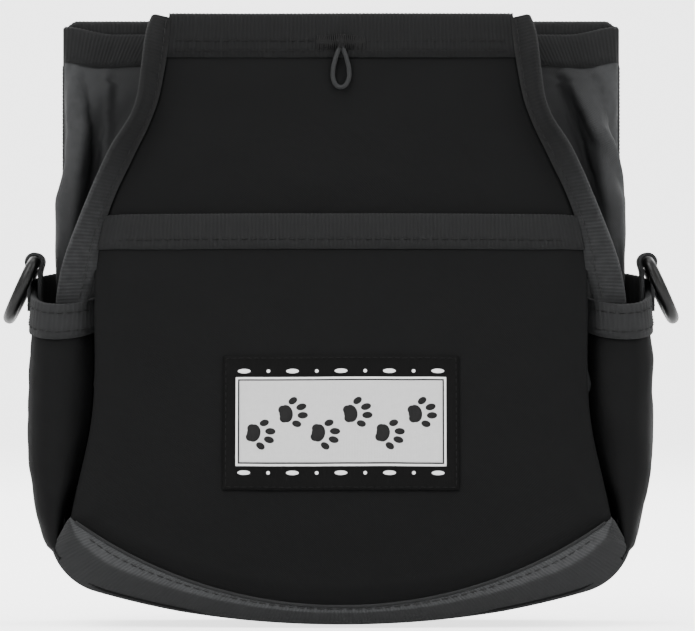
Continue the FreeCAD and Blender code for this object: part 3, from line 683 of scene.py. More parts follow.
def front_cloths():
    x, v = front_grid(0.6, 0.6, None, FRONT_TOP - 1.5, 90, 100)
    side = front_half(v) - np.abs(x)
    open_part = ease(POCKET_TOP, POCKET_TOP + 14, v) * (1 - ease(FRONT_TOP - 22, FRONT_TOP - 14, v))
    lift = 0.5 + 0.35 * ripples(x, v, 45, 21) + 0.12 * ripples(x, v, 14, 22)
    panel = cloth("front_panel_cloth", wall(x, v, FRONT_FACE + lift * open_part * ease(1, 9, side)), NYLON)
    dress(panel, "front_wall", "nylon", "front_panel")

    x, v = front_grid(1, 0, None, POCKET_TOP - 0.3, 150, 120)
    pocket = cloth("front_pocket_cloth", wall(x, v, pocket_face(x, v)), NYLON)
    dress(pocket, "front_wall", "nylon", "front_pocket_panel")

    x, v = front_grid(0.5, 0.5, None, FRONT_TOP - 1.5, 150, 60)
    side = front_half(v) - 0.5 - np.abs(x)
    turned_up = (FRONT_FACE - CLOTH) * (1 - ease(0, LINING_TURN, side)) * (1 - ease(POCKET_TOP, POCKET_TOP + 6, v))
    inside = cloth("front_lining_cloth", wall(x, v, turned_up), LINING, thickness=-0.5)
    dress(inside, "front_wall", "lining", "front_lining")


def hem_tape():
    """The ribbed hem over the front wall's top edge."""
    half = FRONT_FACE / 2 + 0.7
    nose = 1.2
    x = np.linspace(-1, 1, 60) * front_half(FRONT_TOP)
    edge = wall(x, FRONT_TOP + 0.7 - nose, FRONT_FACE / 2 + 0.25 * ripples(x, 0 * x, 60, 5))
    spread_out = 0.1 * (x / x.max())[:, None] ** 3
    tape = binding("front_top_hem", edge, X * spread_out - UP, OUT, HEM_LEAF, HEM_LEAF, half, HEM_TAPE, nose=nose,
                   rib=0.28)
    dress(tape, "front_wall", "tape", "front_top_binding")
    for name, drop in (("front_hem_stitches", HEM_LEAF - 5.0), ("front_hem_edge_stitches", HEM_LEAF - 1.6)):
        line = wall(x[1:-1], FRONT_TOP - drop, FRONT_FACE / 2 + half + RIB_HEIGHT)
        dress(stitches(name, line, OUT, BLACK_THREAD), "front_wall", "tape")


def pocket_tape():
    """The ribbed tape over the patch pocket's top edge."""
    half, nose = 0.95, 0.8
    x = np.linspace(-1, 1, 90) * (front_half(POCKET_TOP) - 0.2)
    d = pocket_face(x, POCKET_TOP + 0 * x) - CLOTH / 2
    edge = wall(x, POCKET_TOP + 0.7 - nose, d)
    slant = (front_half(POCKET_TOP - TAPE_LEAF) - front_half(POCKET_TOP)) / TAPE_LEAF
    down = X * (np.sign(x) * slant * ease(0.7, 1.0, np.abs(x) / x.max()))[:, None] - UP
    tape = binding("front_pocket_tape", edge, down, OUT, TAPE_LEAF, TAPE_LEAF, half, GROSGRAIN, nose=nose)
    dress(tape, "front_wall", "tape", "front_pocket_binding")
    inner = np.abs(x) < x.max() - 2
    line = wall(x[inner], POCKET_TOP - TAPE_LEAF + 3.0, d[inner] + half + RIB_HEIGHT)
    dress(stitches("front_pocket_stitches", line, OUT, BLACK_THREAD), "front_wall", "tape")


# the seam tape beside the front panel: (height, outer edge's x, how far that edge stands out)
STRAP = np.array((
    (98.0, 92.5, -5.0), (104.0, 92.8, -4.6), (109.0, 92.6, -2.6), (117.0, 91.0, 3.2), (124.0, 88.6, 5.4),
    (135.0, 84.2, 7.6), (146.0, 79.6, 9.0), (157.0, 74.4, 10.5), (166.0, 68.0, 11.4), (173.0, 65.6, 11.8),
    (190.0, 64.0, 11.0), (198.0, 63.2, 9.0), (201.6, 61.8, 7.0),
))
STRAP_FOOT = 117.0       # below this height the strap dives behind the side pocket's rim
STRAP_HALF = 1.1


def strap_edges(v, side):
    """The strap's inner and outer edges at heights v."""
    foot = 1 - ease(STRAP_FOOT - 11, STRAP_FOOT, v)
    inner_x = front_half(v) - 0.6 + 3.4 * foot
    inner_d = 3.2 - 5.2 * foot
    outer_x = np.interp(v, STRAP[:, 0], STRAP[:, 1])
    outer_d = np.interp(v, STRAP[:, 0], STRAP[:, 2])
    return wall(side * inner_x, v, inner_d), wall(side * outer_x, v, outer_d)


def seam_straps():
    """The flat tape that binds each side seam. It stands edge-on at the top and turns flat lower down."""
    for name, side in SIDES:
        v = np.linspace(STRAP[0, 0], STRAP[-1, 0], 120)
        inner, outer = strap_edges(v, side)
        for _ in range(14):
            inner[1:-1] = (inner[:-2] + 2 * inner[1:-1] + inner[2:]) / 4
            outer[1:-1] = (outer[:-2] + 2 * outer[1:-1] + outer[2:]) / 4
        across = inner - outer
        width = np.linalg.norm(across, axis=1)
        tangent = np.gradient(outer, axis=0)
        out = side * unit(np.cross(tangent, across))
        nose = 0.9
        edge = outer + unit(across) * nose
        leaf = width - nose
        # Painted highlight: the flat lower strap is painted pale as lit, fading to dark higher up where it turns
        # edge-on.
        worn_and_lit = 4.0 - 3.8 * ease(125, 165, v)
        tape = binding(name + "_seam_strap", edge, across, out, leaf, leaf, STRAP_HALF, SEAM_TAPE,
                       nose=nose, pinch=0.5, rib=0.1, worn_and_lit=worn_and_lit)
        dress(tape, "front_wall", "tape", name + "_seam_binding")
        line = outer + across * 0.72 + out * (STRAP_HALF * 0.66 + RIB_HEIGHT)
        dress(stitches(name + "_strap_stitches", line[12:], out[12:], GREY_THREAD), "front_wall", "tape")


BOTTOM_RADIUS = 280.0
CRESCENT_CORNER = 21.0
CRESCENT_SWELL = 1.5      # the filled bottom pushes the tape out by this much
CRESCENT_TURN = 1.28      # the corner is followed this far round before the edge heads for the strap


def crescent_edge():
    """The outer edge of the tape under the front panel: a shallow arc, rounded corners, tapered ends."""
    half = np.abs(in_wall("bottom_seam_binding")[0]).max() + CRESCENT_SWELL
    centre_x = half - CRESCENT_CORNER
    centre_v = BOTTOM_RADIUS - math.sqrt((BOTTOM_RADIUS - CRESCENT_CORNER) ** 2 - centre_x ** 2)
    lean_out = math.atan2(centre_x, BOTTOM_RADIUS - centre_v)
    turn = np.linspace(0, lean_out, 60)
    right = [(BOTTOM_RADIUS * math.sin(a), BOTTOM_RADIUS * (1 - math.cos(a))) for a in turn]
    for a in np.linspace(lean_out, CRESCENT_TURN, 20)[1:]:
        right.append((centre_x + CRESCENT_CORNER * math.sin(a), centre_v - CRESCENT_CORNER * math.cos(a)))
    right.append((CORNER_X + 0.9, CORNER_V + 0.8))
    left = [(-x, v) for x, v in right[:0:-1]]
    return np.array(left + right)


def bottom_tape():
    """The tape round the front panel's bottom edge. Its outer half curls back towards the bottom gusset."""
    line = crescent_edge()
    outer = smooth_line(wall(line[:, 0], line[:, 1], 0.0), 0.3, rounds=12)
    x = np.linspace(-CORNER_X, CORNER_X, 400)
    inner_line = wall(x, front_low(x) + 1.2, 0.0)
    along = lengths(inner_line) / lengths(inner_line)[-1]
    share = lengths(outer) / lengths(outer)[-1]
    inner = np.stack([np.interp(share, along, inner_line[:, k]) for k in range(3)], axis=1)
    across = outer - inner
    width = np.linalg.norm(across, axis=1)
    rows = 26
    t = np.linspace(0, 1, rows)[:, None]
    crease = 0.36
    curl = 5.0 * np.clip((t - crease) / (1 - crease), 0, None) ** 1.6 * np.minimum(width / 11, 1)[None, :]
    d = BASE_LIFT - 0.6 * t - curl
    level = 0.5 + 0.5 * np.cos(lengths(outer) / RIB_PITCH * 2 * math.pi)[None, :]
    face = inner[None] + t[..., None] * across[None] + (d + RIB_HEIGHT * 0.7 * level)[..., None] * OUT
    # Painted light and shade: the inner strip is painted pale as lit, the curled outer half dark as shaded, and the rib
    # troughs darker.
    wear_and_painted_light = (0.3 + 3.0 * (1 - ease(crease - 0.06, crease + 0.06, t))) * (0.5 + 0.5 * level ** 2)
    tape = shell("bottom_seam_tape", face, face - (TAPE + 0.25) * normals(face) * facing(face), BASE_TAPE, wear_and_painted_light)
    dress(tape, "front_wall", "tape", "bottom_seam_binding")
    edge = inner + OUT * BASE_LIFT
    dress(tube("bottom_seam_edge", edge[8:-8:3], 0.55, BASE_TAPE, spokes=8), "front_wall", "tape")
    row = inner + across * 0.16 + OUT * (BASE_LIFT + 0.1)
    dress(stitches("bottom_seam_stitches", row[40:-40], OUT, GREY_THREAD), "front_wall", "tape")


BASE_LIFT = FRONT_FACE + 1.6


def facing(grid):
    """1 where a grid of the front wall faces outwards, else -1."""
    return 1.0 if (normals(grid) @ OUT).mean() > 0 else -1.0


# ---------------------------------------------------------------- label
LABEL_LIFT = 0.25


def label_point(x, z):
    """A point on the label's face, z being the height up the wall."""
    return wall(np.asarray(x, float), np.asarray(z, float), pocket_face(x, z) + CLOTH + 0.25)


def label_sheet(name, x, v, lift, material):
    cols, rows = 60, 36
    gx, gv = np.meshgrid(np.linspace(*x, cols), np.linspace(*v, rows))
    outer = label_point(gx, gv) + lift * OUT
    return shell(name, outer, outer - (LABEL_LIFT + 0.15) * OUT, material)


def dome(centre, reach, turn, lift, height):
    """Points and faces of a low raised oval on the label."""
    spokes = 20
    points, faces = [], []
    for share, rise in ((1.0, -0.15), (0.96, 0.5), (0.7, 0.85)):
        for k in range(spokes):
            angle = 2 * math.pi * k / spokes
            a, b = reach[0] * share * math.cos(angle), reach[1] * share * math.sin(angle)
            x = centre[0] + a * math.cos(turn) - b * math.sin(turn)
            v = centre[1] + a * math.sin(turn) + b * math.cos(turn)
            points.append(label_point(x, v) + (lift + rise * height) * OUT)
    points.append(label_point(centre[0], centre[1]) + (lift + height) * OUT)
    points.append(label_point(centre[0], centre[1]) + (lift - 0.15 * height) * OUT)
    for ring in range(2):
        for k in range(spokes):
            a, b = ring * spokes + k, ring * spokes + (k + 1) % spokes
            faces.append((a, b, b + spokes, a + spokes))
    for k in range(spokes):
        faces.append((2 * spokes + k, 2 * spokes + (k + 1) % spokes, 3 * spokes))
        faces.append(((k + 1) % spokes, k, 3 * spokes + 1))
    return points, faces


def gather(name, shapes, material):
    """One mesh from several closed shapes, each (points, faces)."""
    points, faces = [], []
    for more_points, more_faces in shapes:
        first = len(points)
        points += more_points
        faces += [tuple(first + i for i in face) for face in more_faces]
    return mesh(name, np.array(points), faces, material, uv=np.array(points)[:, [0, 2]])


def paw(centre, size, turn, lift):
    """A paw print: one broad pad under four toes."""
    shapes = []
    spots = [((0.0, -0.28), (0.40, 0.30), 0.0), ((-0.19, -0.40), (0.2, 0.2), 0.0), ((0.19, -0.40), (0.2, 0.2), 0.0)]
    spots += [((-0.52, 0.10), (0.15, 0.21), 0.45), ((0.52, 0.10), (0.15, 0.21), -0.45)]
    spots += [((-0.19, 0.42), (0.15, 0.23), 0.12), ((0.19, 0.42), (0.15, 0.23), -0.12)]
    for (x, v), (a, b), lean in spots:
        place = (centre[0] + size * (x * math.cos(turn) - v * math.sin(turn)),
                 centre[1] + size * (x * math.sin(turn) + v * math.cos(turn)))
        shapes.append(dome(place, (a * size, b * size), turn + lean, lift, 0.16))
    return shapes


def label_patch():
    """The woven label: dark ground, pale field, a trail of paw prints, and rows of dashes and dots."""
    x, v, _ = in_wall("label")
    half, low, high = x.max(), v.min() - 1.4, v.max()
    middle = (low + high) / 2 + 0.3
    field_x, field_v = 33.2, 14.0
    ground = label_sheet("label_ground", (-half, half), (low, high), 0.0, LABEL_DARK)
    dress(ground, "front_wall", "label", "label")
    frame_v = (middle - field_v - 0.7, middle + field_v + 0.7)
    frame_sheet = label_sheet("label_frame", (-field_x - 0.7, field_x + 0.7), frame_v, 0.12, LABEL_WHITE)
    dress(frame_sheet, "front_wall", "label")
    rule = label_sheet("label_rule", (-field_x, field_x), (middle - field_v, middle + field_v), 0.18, LABEL_BLACK)
    dress(rule, "front_wall", "label")
    field = label_sheet("label_field", (-field_x + 0.5, field_x - 0.5), (middle - field_v + 0.5, middle + field_v - 0.5),
                        0.25, LABEL_LIGHT)
    dress(field, "front_wall", "label")

    trail = []
    steps = 6
    for k in range(steps):
        share = k / (steps - 1) * 2 - 1
        place = (share * 26.0, middle + (2.9 if k % 2 else -4.2))
        trail += paw(place, 7.4, -math.pi / 2 + 0.16 * (1 if k % 2 else -1), 0.25)
    dress(gather("label_paw_trail", trail, LABEL_BLACK), "front_wall", "label")

    marks = []
    for v_row in (middle - field_v - 2.9, middle + field_v + 2.7):
        for k in range(-2, 3):
            marks.append(dome((k * 15.6, v_row), (2.1, 0.75), 0.0, 0.0, 0.2))
        for k in (-1.5, -0.5, 0.5, 1.5):
            marks.append(dome((k * 15.6, v_row), (0.6, 0.6), 0.0, 0.0, 0.2))
    dress(gather("label_dashes", marks, LABEL_WHITE), "front_wall", "label")
    inset = 0.9
    corners = [(-half + inset, low + inset), (half - inset, low + inset), (half - inset, high - inset),
               (-half + inset, high - inset), (-half + inset, low + inset)]
    line = resample(np.array([(a, b, 0.0) for a, b in corners]), 1.0)
    row = label_point(line[:, 0], line[:, 1]) + 0.05 * OUT
    dress(stitches("label_stitches", row, OUT, BLACK_THREAD, pitch=2.4, length=1.7, radius=0.14), "front_wall", "label")


# ---------------------------------------------------------------- clicker loop
def clicker_cord():
    """A teardrop of twisted cord that hangs from the hem, and the bar tack that holds it."""
    x, v, d = in_wall("clicker_loop")
    radius = 0.72
    middle_d = (d.max() + d.min()) / 2
    half = 3.7
    top, drop = v.max() - radius, v.max() - v.min() - 2 * radius
    turn = np.linspace(0, 2 * math.pi, 120)
    across = half * np.sin(turn) * np.abs(np.sin(turn / 2)) ** 1.3
    path = wall(across, top - drop * (1 - np.cos(turn)) / 2, middle_d + 0.7 * np.sin(turn / 2) ** 8 * np.sin(turn))
    cord = tube("clicker_cord", path, radius, CORD, spokes=14, strands=3, lay=3.4)
    dress(cord, "clicker_loop", "cord", "clicker_loop")

    x, v, d = in_wall("loop_stay")
    low, high = v.min() - 0.4, v.max() + 0.4
    bars = 46
    shapes = []
    for k in range(bars):
        at = -x.max() + 2 * x.max() * (k + 0.5) / bars
        lean = 0.25 * (-1) ** k
        bulge = 1.7 * math.exp(-(at / 2.6) ** 2)
        line = np.array([(at - lean, low), (at, (low + high) / 2), (at + lean, high)])
        depth = FRONT_FACE + 0.75 + bulge * 0.9 + np.array([0.0, 0.2, 0.0])
        shapes.append(wall(line[:, 0], line[:, 1], depth))
    rows = [tube("tack", line, 0.24, BLACK_THREAD, spokes=6) for line in shapes]
    dress(join("hem_bar_tack", rows), "front_wall", "tape", "loop_stay")


def join(name, pieces):
    """One object from several, which it takes the place of."""
    shapes = []
    for piece in pieces:
        points = [np.array(v.co) / MM for v in piece.data.vertices]
        shapes.append((points, [tuple(p.vertices) for p in piece.data.polygons]))
    made = gather(name, shapes, pieces[0].data.materials[0])
    for piece in pieces:
        bpy.data.objects.remove(piece)
    return made


# ---------------------------------------------------------------- shared by the sides and the back
def even(points, count, rounds=0):
    """A line with this many evenly spaced points, its corners softened in rounds."""
    points = np.asarray(points, float)
    along = lengths(points)
    at = np.linspace(0, along[-1], count)
    line = np.stack([np.interp(at, along, points[:, k]) for k in range(3)], axis=1)
    for _ in range(rounds):
        line[1:-1] = (line[:-2] + 2 * line[1:-1] + line[2:]) / 4
    return line


def flip(points, side):
    """The same points on the left when side is -1."""
    return points * np.array([side, 1, 1])


def strap(name, path, across, width, thickness, material, wear_edges=0.6):
    """A flat band of webbing or sheet metal along a path, with rounded edges and ends of any width."""
    path = np.asarray(path, float)
    across = unit(np.asarray(across, float))
    cols = 25
    s = np.sin(np.linspace(-1, 1, cols) * math.pi / 2)
    face = unit(np.cross(np.broadcast_to(across, path.shape), np.gradient(path, axis=0)))
    width = np.broadcast_to(width, len(path))
    round_off = np.sqrt(np.clip(1 - ((np.abs(s) - 0.95) / 0.06).clip(0) ** 2, 0.05, 1))
    middle = path[:, None] + across * (s[None, :] * width[:, None] / 2)[..., None]
    shift = (thickness / 2 * round_off)[None, :, None] * face[:, None]
    wear_and_painted_light = np.broadcast_to(wear_edges * (np.abs(s) > 0.9), middle.shape[:2])
    return shell(name, middle + shift, middle - shift, material, wear_and_painted_light)


def bottom_share(points):
    """How far points of the side pockets and the bottom have gone from the back to the front wall.

    The side pockets' rear part, where the ring tabs are sewn, stays with the back.
    """
    y, z = points[:, 1], points[:, 2]
    far = wall_y(z)
    gone = np.clip((SEAM_Y - y) / (SEAM_Y - far), 0, 1)
    return gone + (ease(0.6, 1.0, gone) - gone) * ease(36, 62, z)


def bend_by_place(piece, slot, share, *nodes):
    """Works out each point's share from its place by a rule and passes the piece on to bend()."""
    points = np.array([v.co for v in piece.data.vertices]) / MM
    return bend(piece, slot, share(points), *nodes)


# ---------------------------------------------------------------- side gussets
GUSSET_LOW, GUSSET_HIGH = node_box("right_side_gusset")
GUSSET_COUNT = 90
SEAM_Y = GUSSET_HIGH[1] - 0.3
TAPE_FACE = node_box("back_seam_binding")[0][1]
HEM_FACE = node_box("back_top_binding")[0][1] + 0.3


def pleat_curve():
    """The inner fold of the right gusset, as rows of (z, x)."""
    points = node_points("right_side_gusset")
    heights = np.unique(np.round(points[:, 2], 0))
    rows = []
    for z in heights:
        level = points[np.abs(points[:, 2] - z) < 0.6]
        if len(level) > 8:
            rows.append((z, level[:, 0].min()))
    return np.array(rows)


PLEAT = pleat_curve()


GUSSET_BULGE = np.array(((35, 3), (60, 5), (105, 9), (135, 11), (160, 8.5), (176, 4.5), (184, 2.2), (192, 1.6)))


CORNER_RISE = 2.6        # the gusset's hem climbs this much to the back's top corner


def gusset_line(z, count=GUSSET_COUNT):
    """The right gusset at height z: from the back seam forward in a roll, in to the pleat, out to the front seam."""
    v = (z - GROUND) / UP[2]
    half = front_half(v)
    rear = np.array([BACK_HALF - 0.6, np.interp(z, (180, 184), (TAPE_FACE, HEM_FACE)), z])
    out = ease(108, 118, z)      # below the side pocket's rim the seam hides behind the front panel
    front = wall(half - 1.4 + 2.7 * out, v, -0.7 + 3.8 * out)
    hem = wall(half - 1.8 + 1.6 * out, v, -1.6 + 0.4 * out)
    pleat = np.interp(z, PLEAT[:, 0], PLEAT[:, 1]) + 0.4
    middle = (rear[1] + hem[1]) / 2
    spread = np.interp(z, (35, 105, 145, 193), (9.0, 5.0, 2.8, 1.7))
    bulge = np.interp(z, GUSSET_BULGE[:, 0], GUSSET_BULGE[:, 1])
    swell = np.interp(z, (60, 112, 138, 150, 160, 172), (0.0, 2.6, 2.4, -0.6, -1.4, 0.0))
    hollow = 0.6 - 0.4 * ease(132, 150, z) * (1 - ease(162, 176, z))
    leaf = rear[0] - pleat
    points = [rear, rear + (0.3 + swell, -0.3 * bulge, 0), (pleat + leaf * 0.93 + swell, rear[1] - 0.85 * bulge, z),
              (pleat + leaf * 0.8, rear[1] - bulge, z), (pleat + leaf * 0.6, rear[1] - bulge * hollow, z),
              (pleat + 3.0, middle + spread, z), (pleat, middle + spread * 0.5, z), (pleat, middle - spread * 0.5, z),
              (pleat + 1.5, middle - spread, z), hem, front]
    line = even(points, count, rounds=8)
    corner = ease(GUSSET_HIGH[2] - 24, GUSSET_HIGH[2], z) * (1 - ease(0, 0.3, np.linspace(0, 1, count)))
    line[:, 2] += CORNER_RISE * corner
    return line


def gusset_grid():
    """The right gusset's cloth as rows of points, with each point's share of the way to the front."""
    heights = np.linspace(GUSSET_LOW[2], GUSSET_HIGH[2] - 0.3, 110)
    grid = np.stack([gusset_line(z) for z in heights])
    share = np.stack([lengths(row) / lengths(row)[-1] for row in grid])
    return grid, share


# creases that run down each gusset: (start along the cloth, slope, width, height)
CREASES = {
    "left": ((12.0, 0.5, 3.2, 1.7), (22.0, 0.35, 2.8, -1.4), (6.0, 0.12, 3.0, -1.0)),
    "right": ((25.0, -0.62, 3.4, -2.2), (14.0, -0.5, 3.4, 1.6), (31.0, -0.2, 3.0, 0.8)),
}


def folds(grid, share, seed, creases):
    """Soft creases in a gusset: slack cloth between its seams, quiet near its edges."""
    z = grid[..., 2]
    along = share * 70
    calm = ease(0, 0.12, share) * (1 - ease(0.9, 1, share)) * ease(35, 60, z) * (1 - 0.9 * ease(174, 183, z))
    lift = 0.8 * ripples(along, z * 0.55, 34, seed) + 0.3 * ripples(along, z, 15, seed + 1)
    for start, slope, wide, size in creases:
        across = along - start - slope * (178 - z)
        lift = lift + size * np.exp(-(across / wide) ** 2) * ease(120, 150, z)
    return lift * calm


def gusset_share(points):
    """Each point's share of the way along its gusset, by the nearest place on the gusset's line."""
    heights = np.linspace(GUSSET_LOW[2], GUSSET_HIGH[2], 12)
    lines = [gusset_line(z, 240) for z in heights]
    shares = np.zeros(len(points))
    nearest = np.abs(points[:, 2:3] - heights[None]).argmin(axis=1)
    for k, line in enumerate(lines):
        chosen = nearest == k
        if chosen.any():
            spot = np.abs(points[chosen][:, :2]) * (1, 0) + points[chosen][:, :2] * (0, 1)
            gap = np.linalg.norm(spot[:, None] - line[None, :, :2], axis=2)
            shares[chosen] = gap.argmin(axis=1) / (len(line) - 1)
    return shares


def gussets():
    grid, share = gusset_grid()
    down = unit(gusset_line(GUSSET_HIGH[2] - TAPE_LEAF) - gusset_line(GUSSET_HIGH[2]))
    half, nose = 0.95, 0.8
    for name, side in SIDES:
        lift = folds(grid, share, 31 + side, CREASES[name])
        shaped = grid + lift[..., None] * normals(grid)
        # Painted light: the rear leaf's outward roll is painted paler, as if lit, fading away towards the pleat.
        lit_roll = 2.0 * (1 - ease(0.05, 0.42, share))
        piece = cloth(name + "_gusset_cloth", flip(shaped, side), LIT_GUSSET_NYLON, side=side, wear_and_painted_light=lit_roll)
        bend(piece, "nylon", share, name + "_side_gusset")

        edge = gusset_line(GUSSET_HIGH[2]) + Z * (0.7 - nose)
        out = unit(np.cross(np.gradient(edge, axis=0), down))
        tape = binding(name + "_gusset_tape", flip(edge, side), flip(down, side), flip(out, side), TAPE_LEAF, TAPE_LEAF,
                       half, GROSGRAIN, nose=nose)
        cols = len(tape.data.vertices) // (2 * FOLD_ROWS)
        bend(tape, "tape", np.tile(np.linspace(0, 1, cols), FOLD_ROWS), name + "_gusset_binding")
        for label, drop in (("low", 8.4), ("top", 1.8)):
            line = edge + down * drop - out * (half + RIB_HEIGHT)
            row = stitches(name + "_gusset_" + label + "_stitches", flip(line[3:-3], side), flip(-out, side)[3:-3],
                           BLACK_THREAD)
            bend_by_place(row, "tape", gusset_share)


# ---------------------------------------------------------------- side pockets
POCKET_BOX = node_box("right_side_pocket")
POCKET_OUT = POCKET_BOX[1][0] - 0.3
RIM_SLOPE = 0.36
POCKET_LOW = 21.8        # here the pocket's bottom edge turns in to the bottom gusset
PUFF_UP = np.array((
    (21.8, -0.45), (22.8, -0.1), (24.5, 0.28), (26, 0.42), (29, 0.56), (35, 0.73), (42, 0.9), (50, 1.06), (60, 1.13), (86, 1.15), (104, 1.02),
))


def rim_z(y):
    """Height of the side pocket's rim at depth y."""
    return POCKET_BOX[1][2] - RIM_SLOPE * (POCKET_BOX[1][1] - y)


def pocket_line(z, count=90):
    """The right side pocket at height z, from the back seam round its bulge to the front seam."""
    half = np.interp(z, (POCKET_LOW, 24.5, 34.4, 46), (87.5, 90.6, 88.0, front_half((z - GROUND) / UP[2])))
    bulge = np.interp(z, PUFF_UP[:, 0], PUFF_UP[:, 1])
    rear = BACK_HALF + 0.6
    full = (POCKET_OUT - rear) * bulge
    points = [(rear, TAPE_FACE, z), (rear + 0.62 * full, SEAM_Y - 1.6, z), (rear + full, SEAM_Y - 4.5, z),
              (rear + full, max(-1.5, wall_y(z, -12)), z)]
    for share, d in ((1.0, -8.5), (0.86, -4.0), (0.49, -0.6)):
        points.append((rear + full * share, wall_y(z, d), z))
    for share, d in ((0.93, 0.8), (0.56, -0.2), (0.3, -2.0)):
        points.append((half + (rear - half) * share, wall_y(z, d), z))
    points += [(half + 1.6, wall_y(z, -4.2), z), (half + 0.6, wall_y(z, -5.4), z)]
    return even(points, count, rounds=8)


def side_pockets():
    rows = 90
    lowest = POCKET_LOW
    lines = np.stack([pocket_line(z) for z in np.linspace(lowest, POCKET_BOX[1][2], 160)])
    tall = lines[:, 0, 2]
    grid = np.zeros((rows, lines.shape[1], 3))
    steps = np.linspace(0, 1, rows) ** 0.8
    for k in range(lines.shape[1]):
        top = rim_z(lines[-1, k, 1])
        z = lowest + steps * (top - lowest)
        for i in range(3):
            grid[:, k, i] = np.interp(z, tall, lines[:, k, i])
    cols = grid.shape[1]
    along = np.linspace(0, 1, cols)[None, :]
    z = grid[..., 2]
    half, nose = 0.95, 0.8
    for name, side in SIDES:
        calm = ease(0, 0.15, along) * (1 - ease(0.88, 1, along)) * ease(lowest, lowest + 14, z) * (1 - ease(84, 98, z))
        lift = (0.9 * ripples(along * 60, z * 0.7, 36, 51 + side) + 0.25 * ripples(along * 60, z, 12, 61 + side)) * calm
        shaped = grid - lift[..., None] * normals(grid)
        piece = cloth(name + "_side_pocket_cloth", flip(shaped, side), NYLON, side=-side)
        bend_by_place(piece, "nylon", bottom_share, name + "_side_pocket")

        edge = grid[-1] + Z * (0.7 - nose)
        lower = np.array([[np.interp(p[2] - TAPE_LEAF, tall, lines[:, k, i]) for i in range(3)]
                          for k, p in enumerate(edge)])
        down = unit(lower - edge)
        out = unit(np.cross(down, np.gradient(edge, axis=0)))
        out = out * np.sign(out[cols // 2, 0])
        tape = binding(name + "_pocket_rim", flip(edge, side), flip(down, side), flip(out, side), TAPE_LEAF, TAPE_LEAF,
                       half, RIM_TAPE, nose=nose, pitch=1.5, rib=0.14)
        bend_by_place(tape, "tape", bottom_share, name + "_pocket_binding")
        for label, drop in (("low", 8.6), ("top", 2.4)):
            line = edge + down * drop + out * (half + RIB_HEIGHT)
            row = stitches(name + "_rim_" + label + "_stitches", flip(line[2:-4], side), flip(out[2:-4], side),
                           RIM_THREAD)
            bend_by_place(row, "tape", bottom_share)


def ring_tabs():
    """Webbing that straddles the rim and arches over each ring's bar."""
    low, high = node_box("right_ring_tab")
    middle = (low + high) / 2
    radius = (high[0] - low[0] - WEBBING) / 2
    bar_z = high[2] - radius - WEBBING / 2
    grip = radius - 0.98
    arch = np.linspace(0, math.pi, 13)
    points = [(middle[0] + grip, 0, low[2]), (middle[0] + grip, 0, bar_z - 3.4)]
    points += [(middle[0] + radius * math.cos(a), 0, bar_z + radius * math.sin(a)) for a in arch]
    points += [(middle[0] - grip, 0, bar_z - 3.4), (middle[0] - grip, 0, low[2])]
    path = smooth_line(np.array(points) + Y * middle[1], 0.5, rounds=2)
    width = high[1] - low[1]
    for name, side in SIDES:
        tab = strap(name + "_ring_tab_webbing", flip(path, side), Y, width, WEBBING, WEB)
        dress(tab, "root", "webbing", name + "_ring_tab")
        rows = []
        for z in (low[2] + 2.0, bar_z - 5.0):
            line = np.array([(middle[0] + grip + WEBBING / 2, y, z) for y in (low[1] + 1.5, high[1] - 1.5)])
            rows.append(stitches("row", flip(line, side), X * side, BLACK_THREAD, pitch=2.0, length=1.5))
        dress(join(name + "_tab_stitches", rows), "root", "webbing")


# ---------------------------------------------------------------- bottom
def back_path(grow, top):
    """The back's outline from the left top corner down, round the bottom and up, grown outwards by grow."""
    low = [(x, z) for x, z in BACK_LOW]
    points = [(-BACK_HALF, top)] + [(-x, z) for x, z in low[::-1]] + low + [(BACK_HALF, top)]
    line = smooth_line(np.array([(x, 0.0, z) for x, z in points]), 1.0, rounds=2)
    inward = unit(np.cross(np.gradient(line, axis=0), Y))
    return line - inward * grow, inward


def bottom_sheets():
    """The bottom gusset and its lining: a band between the back seam and the front wall."""
    for name, node, grow, material, slot, thickness in (
        ("bottom_gusset_cloth", "bottom_gusset", -0.3, NYLON, "nylon", CLOTH),
        ("bottom_lining_cloth", "bottom_lining", -1.05, LINING, "lining", 0.45),
    ):
        line, inward = back_path(grow, node_box(node)[1][2])
        rear = node_box(node)[1][1]
        rows = 46
        share = np.linspace(0, 1, rows)[:, None]
        far = wall_y(line[:, 2], 0.2 - 4.2 * ease(26, 32, line[:, 2]))[None, :]
        grid = np.repeat(line[None], rows, axis=0)
        grid[..., 1] = rear + share * (far - rear)
        along = lengths(line)[None, :]
        dent = (0.7 + 0.6 * ripples(along, share * 55, 40, 71)) * ease(0, 0.2, share) * (1 - ease(0.8, 1, share))
        swell = -3.0 * ease(9, 24, line[:, 2])[None, :] * np.sin(math.pi * np.clip(share * 1.08, 0, 1)) ** 0.6
        dent = np.maximum(dent, 0) + swell if node == "bottom_gusset" else 0 * dent + 0.5 * ease(0, 0.2, share) + swell
        grid = grid + dent[..., None] * inward[None]
        piece = shell(name, grid, grid + thickness * inward[None], material)
        bend_by_place(piece, slot, bottom_share, node)


# ---------------------------------------------------------------- back
def rear_grid(inset, bottom, top, cols, rows):
    """x and z over the back's outline, inset all round, from its own bottom edge or a straight one."""
    line, _ = back_path(-inset, BACK_TOP)
    _, low = edge_curves(line[:, 0], line[:, 2])
    s = np.sin(np.linspace(-1, 1, cols) * math.pi / 2)[None, :]
    t = np.linspace(0, 1, rows)[:, None]
    x = -s * low[-1, 0]
    low_z = np.interp(np.abs(x), low[:, 0], low[:, 1]) if bottom is None else np.full_like(x, bottom)
    z = (1 - t) * low_z + t * top
    return np.broadcast_to(x, z.shape), z


def sheet_at(x, y, z):
    return np.stack(np.broadcast_arrays(x, y, z), axis=-1)


